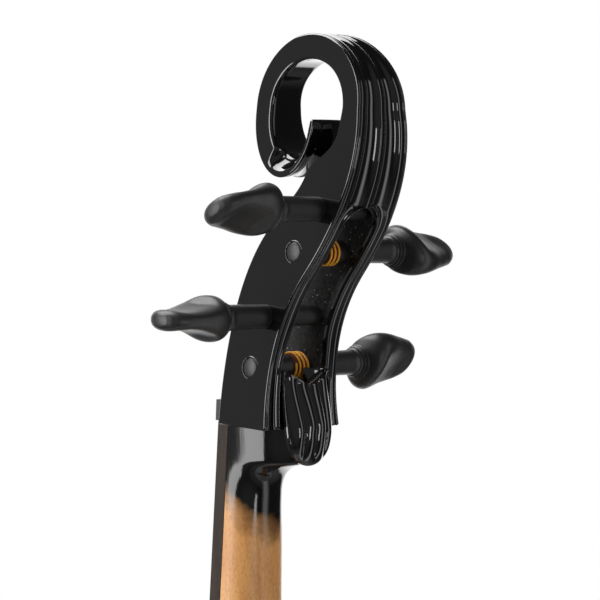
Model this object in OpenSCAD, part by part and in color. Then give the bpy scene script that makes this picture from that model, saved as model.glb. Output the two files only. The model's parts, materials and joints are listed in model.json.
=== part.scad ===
// Full-size electric cello with a slim solid core, two pull-out side frames and a pierced volute.
// Origin: underside of the endpin foot with the endpin pushed in. +Z is up, the strings face -Y,
// and the highest string lies towards +X.

/* [Body] */
// Height of the core's lower edge above the floor, endpin pushed in
core_bottom = 50; // [45:1:60]
// Length of the body
body_len = 755; // [745:5:765]
// Thickness of the core
core_thick = 44; // [43:1:48]
// Half width of the side frames at the upper bout
upper_bout = 165; // [150:1:175]
// Half width of the side frames at the waist
waist = 114; // [105:1:125]
// Half width of the side frames at the lower bout
lower_bout = 213; // [200:1:220]
// Thickness of the side frames
frame_thick = 14; // [12:1:16]
// Depth of the side frames, front to back
frame_depth = 24; // [20:1:28]

/* [Neck] */
// Distance from the nut to the body edge, along the neck
neck_len = 280; // [270:1:285]
// Backward lean of the neck
neck_tilt = 8; // [7:0.5:9]
// Width of the neck at the nut
neck_width = 32; // [30:1:34]
// Length of the fingerboard
board_len = 580; // [560:5:600]
// Thickness of the fingerboard's edge
board_edge = 7.8; // [7:0.1:9]
// Radius of the fingerboard's camber
camber = 62; // [58:1:66]

/* [Head] */
// Half width of the head where its cheek plane crosses the nut
cheek_base = 24.3; // [23:0.1:26]
// Half width of the pegbox cavity at its lower end
cavity_low = 15; // [13:0.5:15]
// Half width of the pegbox cavity at its arched top
cavity_high = 12.5; // [11:0.5:13]
// Radius of the volute from its middle upwards
volute_r = 37.5; // [36:0.5:38]
// Radius of the hole through the volute from its middle upwards
volute_hole_r = 24.5; // [23:0.5:25]

/* [Strings] */
// Distance between neighbouring strings at the nut
nut_spacing = 7.4; // [7:0.1:7.8]
// Distance between neighbouring strings at the bridge
bridge_spacing = 15.6; // [15:0.1:16.5]
// Vibrating length of the strings
string_len = 690; // [685:1:695]

/* [Pegs] */
// Radius of a peg's shaft at its collar
peg_r_collar = 6.8; // [6.5:0.1:7]
// Radius of a peg's shaft at its free end
peg_r_end = 5.5; // [5.2:0.1:5.8]
// Distance from the cheek to a peg's collar
peg_reach = 30; // [26:1:34]

/* [Endpin] */
// Radius of the endpin rod
rod_r = 5; // [4:0.5:5]
// Length of the endpin rod
rod_len = 440; // [400:10:450]

/* [Hidden] */
$fn = 64;
fit_gap = 0.05;          // radial gap of a running fit
clear_gap = 0.4;         // gap between parts that pass each other
string_r = [0.75, 0.65, 0.5, 0.4];   // C, G, D and A, here and in every list below

// Body levels
core_top = core_bottom + body_len;
front_y = -14;
back_y = front_y + core_thick;
mid_y = front_y + core_thick / 2;

// Neck frame: origin at the nut on the glue plane, y to the back, z up along the neck
overstand = 20;
nut_y = front_y - overstand + neck_len * sin(neck_tilt);
nut_z = core_top + neck_len * cos(neck_tilt);
bridge_z = nut_z - string_len * cos(neck_tilt + 1);   // the strings lean 1 degree more than the neck
module neck_frame() { translate([0, nut_y, nut_z]) rotate([-neck_tilt, 0, 0]) children(); }
function neck_to_world(p) = [p[0],
    nut_y + p[1] * cos(neck_tilt) + p[2] * sin(neck_tilt),
    nut_z - p[1] * sin(neck_tilt) + p[2] * cos(neck_tilt)];

// Tailpiece frame: origin at the middle of its wide end, y to the back, z towards the bridge
tail_len = 222;
tail_tilt = 12.6;
tail_y = front_y - 68;
tail_z = bridge_z - 120;
module tail_frame() { translate([0, tail_y, tail_z]) rotate([tail_tilt, 0, 0]) children(); }
function tail_to_world(p) = [p[0],
    tail_y + p[1] * cos(tail_tilt) - p[2] * sin(tail_tilt),
    tail_z + p[1] * sin(tail_tilt) + p[2] * cos(tail_tilt)];

// Curves
function arc(cx, cy, rx, ry, a0, a1, n) =
    [for (i = [0:n]) let (a = a0 + (a1 - a0) * i / n) [cx + rx * cos(a), cy + ry * sin(a)]];
function bezier(a, b, c, d, n) = [for (i = [0:n]) let (t = i / n, s = 1 - t)
    s * s * s * a + 3 * s * s * t * b + 3 * s * t * t * c + t * t * t * d];
function bezier_dir(a, b, c, d, t) = let (s = 1 - t,
    v = s * s * (b - a) + 2 * s * t * (c - b) + t * t * (d - c)) v / norm(v);
function side(v) = [v[1], -v[0]];
function reverse(list) = [for (i = [len(list) - 1:-1:0]) list[i]];

// A solid through closed rings of one length, turning left as seen from its far end
module loft(rings) {
    last = len(rings) - 1;
    n = len(rings[0]);
    polyhedron([for (r = rings) each r], concat(
        [[for (k = [0:n - 1]) k], [for (k = [n - 1:-1:0]) last * n + k]],
        [for (i = [0:last - 1], k = [0:n - 1]) let (a = i * n + k, b = i * n + (k + 1) % n)
            each [[a, b + n, b], [a, a + n, b + n]]]));
}
// A bent tube with mitred corners; up is any direction that the tube never follows
module bent_rod(points, r, up, sides = 8) {
    last = len(points) - 1;
    function heading(i) = let (v = points[min(i + 1, last)] - points[max(i - 1, 0)]) v / norm(v);
    function ring(i) = let (d = heading(i), u = cross(up, d) / norm(cross(up, d)), w = cross(d, u))
        [for (k = [0:sides - 1]) points[i] + r * (u * cos(360 * k / sides) + w * sin(360 * k / sides))];
    loft([for (i = [0:last]) ring(i)]);
}
// Turns a shape drawn in (x, z) and extruded from y0 to y1
module extrude_y(y0, y1) { translate([0, y1, 0]) rotate([90, 0, 0]) linear_extrude(y1 - y0) children(); }
// Turns a shape drawn in (y, z) and extruded from x0 to x1
module extrude_x(x0, x1) {
    translate([x0, 0, 0]) rotate([90, 0, 90]) linear_extrude(x1 - x0) children();
}

// ---- Core ----
// Half width of the core at the share t of its length
function core_half(t) = 60 + 13 * cos(360 * t - 50) + 11 * cos(180 * t);
core_corner = 26;
core_steps = 36;
function core_edge() = concat(
    arc(core_half(0) - core_corner, core_bottom + core_corner, core_corner, core_corner, -90, 0, 6),
    [for (i = [2:core_steps - 2]) [core_half(i / core_steps), core_bottom + body_len * i / core_steps]],
    arc(core_half(1) - core_corner, core_top - core_corner, core_corner, core_corner, 0, 90, 6));
function core_x(z) = core_half((z - core_bottom) / body_len);
heel_half = 21;
mortise_z = core_top - 70;
socket_r = 12;
socket_len = 40;
plug_r = 5;
plug_in = 30;
plug_z = [core_bottom + 80, core_top - 60];
pocket = [92, 22, 150];       // preamp pocket in the back
pocket_z = core_bottom + 165;
cover_lip = 4;
cover_thick = 2.5;
box_size = [64, 22.5, 34];      // battery box, lying across the back
box_z = core_bottom + 112;
wall = 1.5;
pickup_size = [104, 9, 14];
pickup_sink = 5;
saddle_half = 22;
saddle_sink = 1.5;
// Output and headphone jacks in the lower edge
jack_x = [-38, 38];
jack_r = [3.2, 1.8];
jack_shell_r = [7, 4.5];
jack_len = [32, 18];
jack_floor = 3;
pot_pos = [[50, bridge_z - 60], [50, bridge_z - 108]];
pot_r = 8.5;
pot_len = 12;

module body_core() color("#101012") difference() {
    extrude_y(front_y, back_y)
        polygon(concat(core_edge(), [for (p = reverse(core_edge())) [-p[0], p[1]]]));
    translate([-heel_half, front_y - 1, mortise_z]) cube([2 * heel_half, core_thick + 2, 100]);
    translate([0, 0, core_bottom - 1]) cylinder(h = socket_len + 1, r = socket_r);
    translate([0, 0, core_bottom]) cylinder(h = rod_len, r = rod_r + 1);
    translate([-saddle_half, front_y - 1, core_bottom - 1]) cube([2 * saddle_half, 1 + saddle_sink, 11]);
    translate([-pickup_size[0] / 2, front_y - 1, bridge_z - pickup_size[2] / 2])
        cube([pickup_size[0], 1 + pickup_sink, pickup_size[2]]);
    translate([-pocket[0] / 2, back_y - pocket[1], pocket_z]) cube([pocket[0], pocket[1] + 1, pocket[2]]);
    translate([-pocket[0] / 2 - cover_lip * 2, back_y - cover_thick, pocket_z - cover_lip * 2])
        cube([pocket[0] + 4 * cover_lip, cover_thick + 1, pocket[2] + 4 * cover_lip]);
    for (x = [-1, 1]) for (z = [-cover_lip, pocket[2] + cover_lip])
        translate([x * (pocket[0] / 2 + cover_lip), back_y - 14, pocket_z + z])
            rotate([-90, 0, 0]) cylinder(h = 14, r = 1.5);
    translate([-box_size[0] / 2, back_y - box_size[1], box_z]) cube([box_size[0], 99, box_size[2]]);
    for (s = [-1, 1]) for (z = plug_z)
        translate([s * (core_x(z) - plug_in), mid_y, z]) rotate([0, s * 90, 0])
            cylinder(h = 60, r = plug_r + fit_gap);
    for (s = [-1, 1]) translate([s * (core_x(plug_z[1]) - 14), mid_y, plug_z[1]])
        rotate([-90, 0, 0]) cylinder(h = 60, r = 3 + fit_gap);
    for (i = [0, 1]) translate([jack_x[i], mid_y, core_bottom - 1])
        cylinder(h = jack_len[i] + 1, r = jack_shell_r[i]);
    for (p = pot_pos) {
        translate([p[0], front_y - 1, p[1]]) rotate([-90, 0, 0]) cylinder(h = core_thick, r = 4);
        translate([p[0], front_y + 6, p[1]]) rotate([-90, 0, 0]) cylinder(h = pot_len, r = pot_r);
    }
}

// ---- Neck, pegbox and volute: one piece of maple ----
// Slope of a cheek's flat face: the head narrows upwards and widens a little to the back
cheek_rise = -0.0895;
cheek_back = 0.0968;
function cheek_x(y, z) = cheek_base + cheek_back * y + cheek_rise * z;
volute = [48, 167];
hole_mid = [47.8, 166.5];
volute_long = 2.8;       // how much further the volute reaches to the front and back than up
hole_long = 2.4;
// Side view of the head in (y, z): up the front, round the hole to the tip, back round the volute
head_outline = concat(
    [[0.7, 0]],
    bezier([0.7, 8], [0.7, 38], [5, 75], [24, 99.6], 10),
    bezier([24, 99.6], [32, 110.5], [47, 121], [52, 132], 6),
    bezier([52, 132], [54.5, 141], [73.5, 142], [74, 157.5], 8),
    arc(hole_mid[0], hole_mid[1], volute_hole_r + hole_long, volute_hole_r, 0, 180, 24),
    arc(36, 163, 15.1, 22, 180, 350, 14),
    arc(31.3, 163, 23.6, 33.5, 350, 180, 18),
    arc(volute[0], volute[1], volute_r + volute_long, volute_r, 180, 0, 30),
    reverse(bezier([58, 80], [74, 101], [91, 128], [89, 160], 10)),
    reverse(bezier([39, 0], [35.5, 28], [40, 56], [58, 80], 8)));
slot_low = 14;
slot_high = 104;
// Pegs in the neck frame: side, y, z, roll of the thumb piece about its shaft
peg_side = [-1, -1, 1, 1];
peg_y = [23, 49, 64, 30.5];
peg_z = [30.5, 92, 115, 58];
peg_roll = [40, 116, 120, 90];
function peg_face(i) = cheek_x(peg_y[i], peg_z[i]);
function peg_r(i, x) = let (w = peg_face(i))
    peg_r_end + (peg_r_collar - peg_r_end) * (x + w) / (2 * w + peg_reach);
// Places a peg: the shaft runs along +Z from the middle of the head towards the thumb piece
module peg_axis(i) {
    neck_frame() translate([0, peg_y[i], peg_z[i]]) rotate([0, peg_side[i] * 90, 0]) children();
}
module peg_bore(i) {
    w = peg_face(i) + 3;
    translate([0, peg_y[i], peg_z[i]]) rotate([0, peg_side[i] * 90, 0]) translate([0, 0, -w])
        cylinder(h = 2 * w, r1 = peg_r(i, -w) + fit_gap, r2 = peg_r(i, w) + fit_gap);
}
chin_x = [-12, -6, 0, 6, 12];
neck_depth = 18;
heel_curve = 38;
module cheek_planes() {
    // Solid between the two sloping cheek faces
    lean = atan(cheek_rise);
    turn = atan(cheek_back);
    intersection_for(s = [0, 1]) mirror([s, 0, 0])
        translate([cheek_base, 0, 0]) rotate([0, lean, -turn]) translate([-90, -150, -80])
            cube([90, 400, 400]);
}
module head() difference() {
    union() {
        intersection() {
            extrude_x(-40, 40) polygon(head_outline);
            cheek_planes();
        }
        translate([-neck_width / 2, 0, 0]) cube([neck_width, 8, slot_low]);
        for (x = chin_x) translate([x, 41 - abs(x) / 4, abs(x) / 3 - 16]) {
            cylinder(h = 36, r = 5);
            translate([0, 0, -4]) cylinder(h = 4, r1 = 3, r2 = 5);
        }
    }
    // Pegbox cavity, open to the front and to the back, with an arched top
    extrude_y(-5, 120) polygon(concat(
        [[-cavity_low, slot_low], [cavity_low, slot_low], [cavity_high, slot_high]],
        arc(0, slot_high, cavity_high, 12, 0, 180, 12)));
    // Room for the highest winding under the arch, and for the string that leaves it
    translate([-cavity_high, peg_y[2], peg_z[2]]) rotate([0, 90, 0])
        cylinder(h = 2 * cavity_high, r = winding_r[2] + 5);
    for (i = [0:3]) peg_bore(i);
}
module neck_shaft() {
    grow = 4.8;
    intersection() {
        translate([0, neck_depth - neck_width / 2, 14]) rotate([180, 0, 0])
            cylinder(h = neck_len + 14, r1 = neck_width / 2 - 0.2, r2 = neck_width / 2 + grow);
        translate([-50, 0, -400]) cube([100, 100, 420]);
    }
    // Back of the neck runs up into the head
    translate([-neck_width / 2, 4, -1]) cube([neck_width, 33, slot_low + 1]);
}
module neck_heel() intersection() {
    neck_frame() extrude_x(-heel_half, heel_half) difference() {
        translate([0, -neck_len - 90]) square([130, 132]);
        translate([22 + heel_curve, -neck_len + heel_curve + 8]) circle(r = heel_curve);
        translate([22 + heel_curve, -neck_len + 8]) square([200, 100]);
        translate([22, -neck_len + heel_curve + 8]) square([200, 100]);
    }
    translate([-60, -200, mortise_z]) cube([120, 200 + back_y, 300]);
}
module neck_and_scroll() color("#141214") union() {
    neck_frame() head();
    neck_frame() neck_shaft();
    neck_heel();
}

// ---- Fingerboard, nut, saddle ----
board_end_half = 31;
function board_half(z) = neck_width / 2 - (board_end_half - neck_width / 2) * z / board_len;
function sagitta(half) = camber - sqrt(camber * camber - half * half);
// Height of the board's crest over the glue plane
function crest(z) = let (a = board_edge + sagitta(neck_width / 2),
    b = board_edge + sagitta(board_end_half)) a - (b - a) * z / board_len;
// Cambered solid in front of the glue plane, raised by lift
module camber_rod(lift) {
    slope = atan((crest(-board_len) - crest(0)) / board_len);
    translate([0, camber - crest(0) - lift, 0]) rotate([-slope, 0, 0])
        translate([0, 0, -board_len - 20]) cylinder(h = board_len + 60, r = camber, $fn = 128);
}
module fingerboard() color("#1b1716") neck_frame() difference() {
    intersection() {
        extrude_y(-30, 0) polygon([[-neck_width / 2, 0], [neck_width / 2, 0],
            [board_end_half, -board_len], [-board_end_half, -board_len]]);
        camber_rod(0);
    }
    // Hollow under the free end
    translate([0, 14, -board_len - 5]) cylinder(h = board_len - neck_len - 85, r = 24);
}
nut_len = 11;
nut_rise = 1.8;
module nut() color("#0c0c0d") neck_frame() difference() {
    intersection() {
        translate([-neck_width / 2, -30, 0]) cube([neck_width, 30, nut_len]);
        camber_rod(nut_rise);
    }
    for (i = [0:3]) {
        p = nut_point(i);
        translate([p[0], p[1], -1]) cylinder(h = nut_len + 2, r = string_r[i] + fit_gap, $fn = 24);
        translate([p[0] - string_r[i] - fit_gap, p[1] - 6, -1])
            cube([2 * (string_r[i] + fit_gap), 6, nut_len + 2]);
    }
}
module saddle() color("#0c0c0d") difference() {
    translate([-saddle_half, front_y - 9, core_bottom]) cube([2 * saddle_half, 9 + saddle_sink, 10]);
    for (s = [-1, 1]) translate([s * cord_half, front_y - 9, core_bottom]) rotate([45, 0, 0])
        translate([0, 0, -20]) cylinder(h = 40, r = cord_r + 0.3, $fn = 32);
}

// ---- Strings ----
function string_x(i, spacing) = (i - 1.5) * spacing;
function nut_point(i) = let (x = string_x(i, nut_spacing))
    [x, -(board_edge + sagitta(neck_width / 2) + nut_rise - sagitta(abs(x))) + string_r[i] * 0.4, 0];
bridge_high = 100;
bridge_camber = 64;
function bridge_point(i) = let (x = string_x(i, bridge_spacing))
    [x, front_y - bridge_high + (bridge_camber - sqrt(bridge_camber * bridge_camber - x * x)), bridge_z];
tuner_x = [-21, -7, 7, 21];
winding_r = [7.6, 7.5, 7.3, 7.2];
winding_x = [-8.4, -3.5, 7.5, 10.5];
// Point where a string that comes from q leaves the front of a winding of radius r round c, in (y, z)
function tangent(c, r, q) = let (v = q - c, d = norm(v), a = atan2(v[1], v[0]), b = acos(r / d))
    c + r * [cos(a - b), sin(a - b)];
function string_path(i) = let (
    n = nut_point(i),
    rest = [n[0], n[1], nut_len],
    leave = tangent([peg_y[i], peg_z[i]], winding_r[i] + string_r[i] + clear_gap, [rest[1], rest[2]]))
    [neck_to_world([winding_x[i], leave[0], leave[1]]), neck_to_world(rest), neck_to_world(n),
     bridge_point(i), tail_to_world([tuner_x[i], hook_y, hook_z + 3])];
module a_string(i) color("#c8c8cc") bent_rod(string_path(i), string_r[i], [1, 0.2, 0]);
module string_c() a_string(0);
module string_g() a_string(1);
module string_d() a_string(2);
module string_a() a_string(3);

// ---- Pegs ----
// Thumb piece: distance past the collar, half width, half thickness
thumb = [[3, 6.5, 6.5], [5, 7.4, 7.4], [7.5, 13.4, 11.3], [10, 16.2, 12], [13, 17.6, 11.8], [17, 18, 10.7],
    [21, 17.6, 9.1], [26, 16.4, 7.4], [32, 14.8, 6.4], [38, 12.4, 6], [42, 9, 4.9], [44.5, 4.2, 2.6]];
thumb_sides = 20;
module peg(i) color("#18181a") peg_axis(i) {
    w = peg_face(i);
    translate([0, 0, -w]) cylinder(h = 2 * w + peg_reach, r1 = peg_r(i, -w), r2 = peg_r_collar);
    translate([0, 0, w + peg_reach]) {
        rotate_extrude() polygon([[0, 0], [7.6, 0], [9.6, 1.6], [9.6, 2.6], [8, 4], [8, 5.5], [0, 5.5]]);
        rotate([0, 0, peg_roll[i]]) loft([for (t = thumb) [for (k = [0:thumb_sides - 1])
            [t[1] * cos(360 * k / thumb_sides), t[2] * sin(360 * k / thumb_sides), t[0]]]]);
    }
}
module peg_c() peg(0);
module peg_g() peg(1);
module peg_d() peg(2);
module peg_a() peg(3);
// Silk-wrapped end of a string, wound side by side on its peg
wind_turns = [4, 3, 3, 2];
wind_pitch = 2.9;
wind_r = 1.2;
module winding(i) color("#c0701c") peg_axis(i)
    for (k = [0:wind_turns[i] - 1]) {
        x = peg_side[i] * winding_x[i] + (k - (wind_turns[i] - 1) / 2) * wind_pitch;
        translate([0, 0, x]) rotate_extrude()
            translate([winding_r[i] - wind_r, 0]) circle(r = wind_r, $fn = 20);
    }
module winding_c() winding(0);
module winding_g() winding(1);
module winding_d() winding(2);
module winding_a() winding(3);

// ---- Bridge ----
bridge_foot = 11;
bridge_tip = 3;
module bridge() color("#c89a5e") translate([0, front_y, bridge_z]) rotate([90, 0, 0]) difference() {
    intersection() {
        translate([0, 0, 4]) rotate([90, 0, 0]) translate([0, 0, -bridge_foot]) linear_extrude(2 * bridge_foot)
            bridge_outline();
        rotate([90, 0, 90]) translate([0, 0, -60]) linear_extrude(120)
            polygon([[-bridge_foot / 2, 0], [bridge_foot / 2, 0], [bridge_tip / 2, 110], [-bridge_tip / 2, 110]]);
    }
    for (i = [0:3]) {
        x = string_x(i, bridge_spacing);
        drop = bridge_camber - sqrt(bridge_camber * bridge_camber - x * x);
        translate([x, 0, bridge_high - drop]) rotate([90, 0, 0])
            cylinder(h = 40, r = string_r[i] + 0.3, center = true, $fn = 24);
    }
}
module bridge_outline() difference() {
    polygon(concat(
        [[-46, 0], [-28, 0], [-28, 6], [-22, 30]],
        arc(0, 30, 22, 12, 180, 0, 12),
        [[22, 30], [28, 6], [28, 0], [46, 0], [46, 5], [36, 12], [31, 34], [38, 44], [44, 52], [40, 60],
         [31, 66], [33, 78]],
        arc(0, bridge_high - bridge_camber - 4, bridge_camber, bridge_camber, 60, 120, 12),
        [[-33, 78], [-31, 66], [-40, 60], [-44, 52], [-38, 44], [-31, 34], [-36, 12], [-46, 5]]));
    translate([0, 62]) circle(r = 9);
    translate([0, 54]) square([7, 8], center = true);
    for (s = [-1, 1]) translate([s * 22, 52]) circle(r = 6.5);
}
module pickup_bar() color("#8d8f94")
    translate([-pickup_size[0] / 2, front_y - (pickup_size[1] - pickup_sink), bridge_z - pickup_size[2] / 2])
        cube(pickup_size);

// ---- Tailpiece and fine tuners ----
tail_top_half = 31;
tail_low_half = 15;
tail_thick = 9;
tail_camber = 80;
hook_y = -8;
hook_z = -12;
pivot_y = 5;
pivot_z = -20;
pin_r = 1.5;
lever_half = 3;
screw_z = -52;
screw_r = 2;
arm_y = 10;
cord_r = 1.6;
cord_half = 9;
function tail_front(x) = tail_camber - sqrt(tail_camber * tail_camber - x * x);
module tailpiece() color("#161618") tail_frame() difference() {
    intersection() {
        extrude_y(-5, tail_thick) polygon([[-tail_top_half, 0], [tail_top_half, 0],
            [tail_low_half, -tail_len], [-tail_low_half, -tail_len]]);
        translate([0, tail_camber, -tail_len - 10])
            cylinder(h = tail_len + 30, r = tail_camber, $fn = 128);
    }
    for (x = tuner_x) {
        translate([x - lever_half - 0.3, -20, -40]) cube([2 * lever_half + 0.6, 50, 30]);
        translate([x, pivot_y, pivot_z]) rotate([0, 90, 0])
            cylinder(h = 2 * lever_half + 5, r = pin_r + fit_gap, center = true, $fn = 32);
        translate([x, -20, screw_z]) rotate([-90, 0, 0]) cylinder(h = 60, r = screw_r + fit_gap, $fn = 32);
    }
    for (s = [-1, 1]) translate([s * cord_half, 4.5, -tail_len - 1])
        cylinder(h = 26, r = cord_r, $fn = 32);
}
module tuner_screw(i) color("#b9bbc0") tail_frame() translate([tuner_x[i], 0, screw_z]) {
    top = tail_front(tuner_x[i]);
    translate([0, top - 8, 0]) rotate([-90, 0, 0])
        cylinder(h = arm_y - clear_gap - top + 8, r = screw_r, $fn = 32);
    translate([0, top - 15, 0]) rotate([-90, 0, 0]) difference() {
        cylinder(h = 8, r = 5.5, $fn = 48);
        for (k = [0:11]) rotate([0, 0, 30 * k]) translate([5.9, 0, -1]) cylinder(h = 10, r = 0.8, $fn = 16);
    }
}
module tuner_screw_c() tuner_screw(0);
module tuner_screw_g() tuner_screw(1);
module tuner_screw_d() tuner_screw(2);
module tuner_screw_a() tuner_screw(3);
module tuner_lever(i) color("#b9bbc0") tail_frame() translate([tuner_x[i], 0, 0]) {
    extrude_x(-lever_half, lever_half) polygon([[hook_y - 3, hook_z + 1], [hook_y + 1, hook_z + 1.8],
        [pivot_y + 3, pivot_z + 3.5], [arm_y + 2.5, pivot_z - 4], [arm_y + 2.5, screw_z - 4],
        [arm_y, screw_z - 4], [arm_y, pivot_z - 6], [pivot_y - 3, pivot_z - 2.5], [hook_y - 3, hook_z - 2.5]]);
    translate([0, pivot_y, pivot_z]) rotate([0, 90, 0])
        cylinder(h = 2 * lever_half + 4.6, r = pin_r, center = true, $fn = 32);
}
module tuner_lever_c() tuner_lever(0);
module tuner_lever_g() tuner_lever(1);
module tuner_lever_d() tuner_lever(2);
module tuner_lever_a() tuner_lever(3);

// ---- Endpin ----
collar_low = core_bottom - 20;
collar_r = 14;
groove_z = core_bottom - 5;
foot_r = 7;
foot_len = 24;
rod_low = 8;
module endpin_collar() color("#131315") difference() {
    union() {
        translate([0, 0, collar_low]) cylinder(h = 20, r = collar_r);
        translate([0, 0, core_bottom]) cylinder(h = socket_len, r = socket_r);
    }
    translate([0, 0, collar_low - 1]) cylinder(h = socket_len + 30, r = rod_r + fit_gap);
    translate([0, 0, groove_z]) rotate_extrude() translate([collar_r + 0.3, 0]) circle(r = cord_r + 0.3, $fn = 24);
    translate([0, 0, collar_low + 8]) rotate([0, 90, 0]) cylinder(h = 30, r = 3 + fit_gap, $fn = 32);
}
module endpin_screw() color("#a9abb0") translate([0, 0, collar_low + 8]) rotate([0, 90, 0]) {
    translate([0, 0, rod_r + clear_gap]) cylinder(h = 14, r = 3, $fn = 32);
    translate([0, 0, collar_r + 2.5]) difference() {
        cylinder(h = 9, r = 7.5, $fn = 48);
        for (k = [0:11]) rotate([0, 0, 30 * k]) translate([8, 0, -1]) cylinder(h = 11, r = 1, $fn = 16);
    }
}
module endpin_rod() color("#9b9da2") translate([0, 0, rod_low]) cylinder(h = rod_len, r = rod_r);
module endpin_foot() color("#1c1c1e") difference() {
    rotate_extrude() polygon([[0, 0], [4.5, 0], [foot_r, 3], [foot_r, foot_len - 3],
        [foot_r - 1, foot_len], [0, foot_len]]);
    translate([0, 0, rod_low]) cylinder(h = 40, r = rod_r);
}
module tail_cord() color("#2a2a2c") for (s = [-1, 1]) {
    turn = [for (k = [0:5]) [s * (collar_r + 0.3) * cos(18 * k), (collar_r + 0.3) * sin(18 * k), groove_z]];
    bent_rod(concat([tail_to_world([s * cord_half, 4.5, -tail_len + 20]),
        tail_to_world([s * cord_half, 4.5, -tail_len - 4]),
        [s * cord_half, front_y - 9, core_bottom]], turn), cord_r, [s, 1, 1]);
}

// ---- Side frames ----
function frame_knots() = [[core_x(plug_z[1]) + 4, plug_z[1]], [upper_bout, core_top - 140],
    [waist, bridge_z + 50], [lower_bout, core_bottom + 160], [core_x(plug_z[0]) + 4, plug_z[0]]];
function frame_handles() = let (k = frame_knots()) [
    [k[0] + [60, 8], k[1] + [0, 75]], [k[1] + [0, -75], k[2] + [0, 65]],
    [k[2] + [0, -95], k[3] + [0, 100]], [k[3] + [0, -80], k[4] + [70, -34]]];
frame_steps = 10;
// Edge of the frame, off to one side of its middle line by d
function frame_edge(d) = let (k = frame_knots(), h = frame_handles()) [for (s = [0:3])
    for (i = [0:(s == 3 ? frame_steps : frame_steps - 1)]) let (t = i / frame_steps,
        p = bezier(k[s], h[s][0], h[s][1], k[s + 1], frame_steps)[i],
        v = bezier_dir(k[s], h[s][0], h[s][1], k[s + 1], t)) p - d * side(v)];
module side_frame(s) color("#101012") mirror([s < 0 ? 1 : 0, 0, 0])
    extrude_y(mid_y - frame_depth / 2, mid_y + frame_depth / 2)
        polygon(concat(frame_edge(-frame_thick / 2), reverse(frame_edge(frame_thick / 2))));
module bass_frame() side_frame(-1);
module treble_frame() side_frame(1);
module frame_plugs(s) color("#a9abb0") for (z = plug_z)
    translate([s * (core_x(z) - plug_in + 1), mid_y, z]) rotate([0, s * 90, 0])
        cylinder(h = plug_in + 6, r = plug_r);
module bass_frame_plugs() frame_plugs(-1);
module treble_frame_plugs() frame_plugs(1);
pad_thick = 5;
pad_first = 21;
pad_last = 27;
module knee_pad(s) color("#202022") mirror([s < 0 ? 1 : 0, 0, 0]) {
    inner = frame_edge(frame_thick / 2);
    outer = frame_edge(frame_thick / 2 + pad_thick);
    extrude_y(mid_y - 10, mid_y + 10) polygon(concat(
        [for (i = [pad_first:pad_last]) inner[i]],
        [for (i = [pad_last:-1:pad_first]) outer[i]]));
}
module bass_knee_pad() knee_pad(-1);
module treble_knee_pad() knee_pad(1);
module thumbscrew(s) color("#a9abb0") translate([s * (core_x(plug_z[1]) - 14), 0, plug_z[1]]) rotate([-90, 0, 0]) {
    translate([0, 0, mid_y + plug_r + clear_gap]) cylinder(h = core_thick / 2 + 1, r = 3, $fn = 32);
    translate([0, 0, back_y + 1]) difference() {
        cylinder(h = 9, r = 8, $fn = 48);
        for (k = [0:11]) rotate([0, 0, 30 * k]) translate([8.5, 0, -1]) cylinder(h = 11, r = 1, $fn = 16);
    }
}
module bass_thumbscrew() thumbscrew(-1);
module treble_thumbscrew() thumbscrew(1);
chest_pad_size = [70, 84, 10];
module chest_pad() color("#202022")
    translate([0, back_y + chest_pad_size[2] / 2, core_top - 135]) rotate([90, 0, 0]) intersection() {
        cylinder(h = 40, r = chest_pad_size[1] / 2, center = true);
        cube([chest_pad_size[0], 200, chest_pad_size[2]], center = true);
    }

// ---- Electronics ----
knob_r = 10;
shaft_r = 3;
module knob(i) color("#1a1a1c") translate([pot_pos[i][0], front_y, pot_pos[i][1]]) rotate([90, 0, 0]) {
    translate([0, 0, 1]) rotate_extrude() polygon([[0, 0], [knob_r, 0], [knob_r, 4], [knob_r - 2, 13],
        [knob_r - 3, 14], [0, 14]]);
    translate([0, 0, -5.6]) cylinder(h = 8, r = shaft_r, $fn = 32);
}
module volume_knob() knob(0);
module tone_knob() knob(1);
module pot(i) color("#6d6f74") translate([pot_pos[i][0], front_y, pot_pos[i][1]]) rotate([-90, 0, 0]) difference() {
    union() {
        cylinder(h = 6, r = 4);
        translate([0, 0, 6]) cylinder(h = pot_len, r = pot_r);
    }
    translate([0, 0, -1]) cylinder(h = 8, r = shaft_r + fit_gap, $fn = 32);
}
module volume_pot() pot(0);
module tone_pot() pot(1);
module jack(i) color("#a9abb0") translate([jack_x[i], mid_y, core_bottom]) difference() {
    union() {
        cylinder(h = jack_len[i], r = jack_shell_r[i]);
        translate([0, 0, -2]) cylinder(h = 2, r = jack_shell_r[i] + 3);
    }
    translate([0, 0, -3]) cylinder(h = jack_len[i] + 3 - jack_floor, r = jack_r[i]);
}
module output_jack() jack(0);
module headphone_jack() jack(1);
module preamp_board() color("#1f5a35") translate([0, back_y - pocket[1] + 3, pocket_z]) {
    translate([-40, 0, 30]) cube([80, 1.6, 90]);
    for (x = [-30, -12, 8, 26]) translate([x, 1.6, 50]) cube([9, 3, 14]);
    for (x = [-26, 0, 24]) translate([x, 1.6, 95]) rotate([-90, 0, 0]) cylinder(h = 8, r = 4);
    for (x = [-34, 34]) for (z = [36, 114]) translate([x, -3, z]) rotate([-90, 0, 0]) cylinder(h = 3, r = 3);
}
battery_size = [48.5, 17.5, 26.5];
module battery() color("#b4873a")
    translate([-battery_size[0] / 2, back_y - box_size[1] + wall, box_z + (box_size[2] - battery_size[2]) / 2])
        cube(battery_size);
module battery_box() color("#1a1a1c") translate([-box_size[0] / 2, back_y - box_size[1], box_z]) difference() {
    cube([box_size[0], box_size[1] - 2, box_size[2]]);
    translate([wall, wall, wall]) cube([box_size[0] - 2 * wall, 99, box_size[2] - 2 * wall]);
}
door_gap = 0.3;
door_barrel_r = 0.8;
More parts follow.
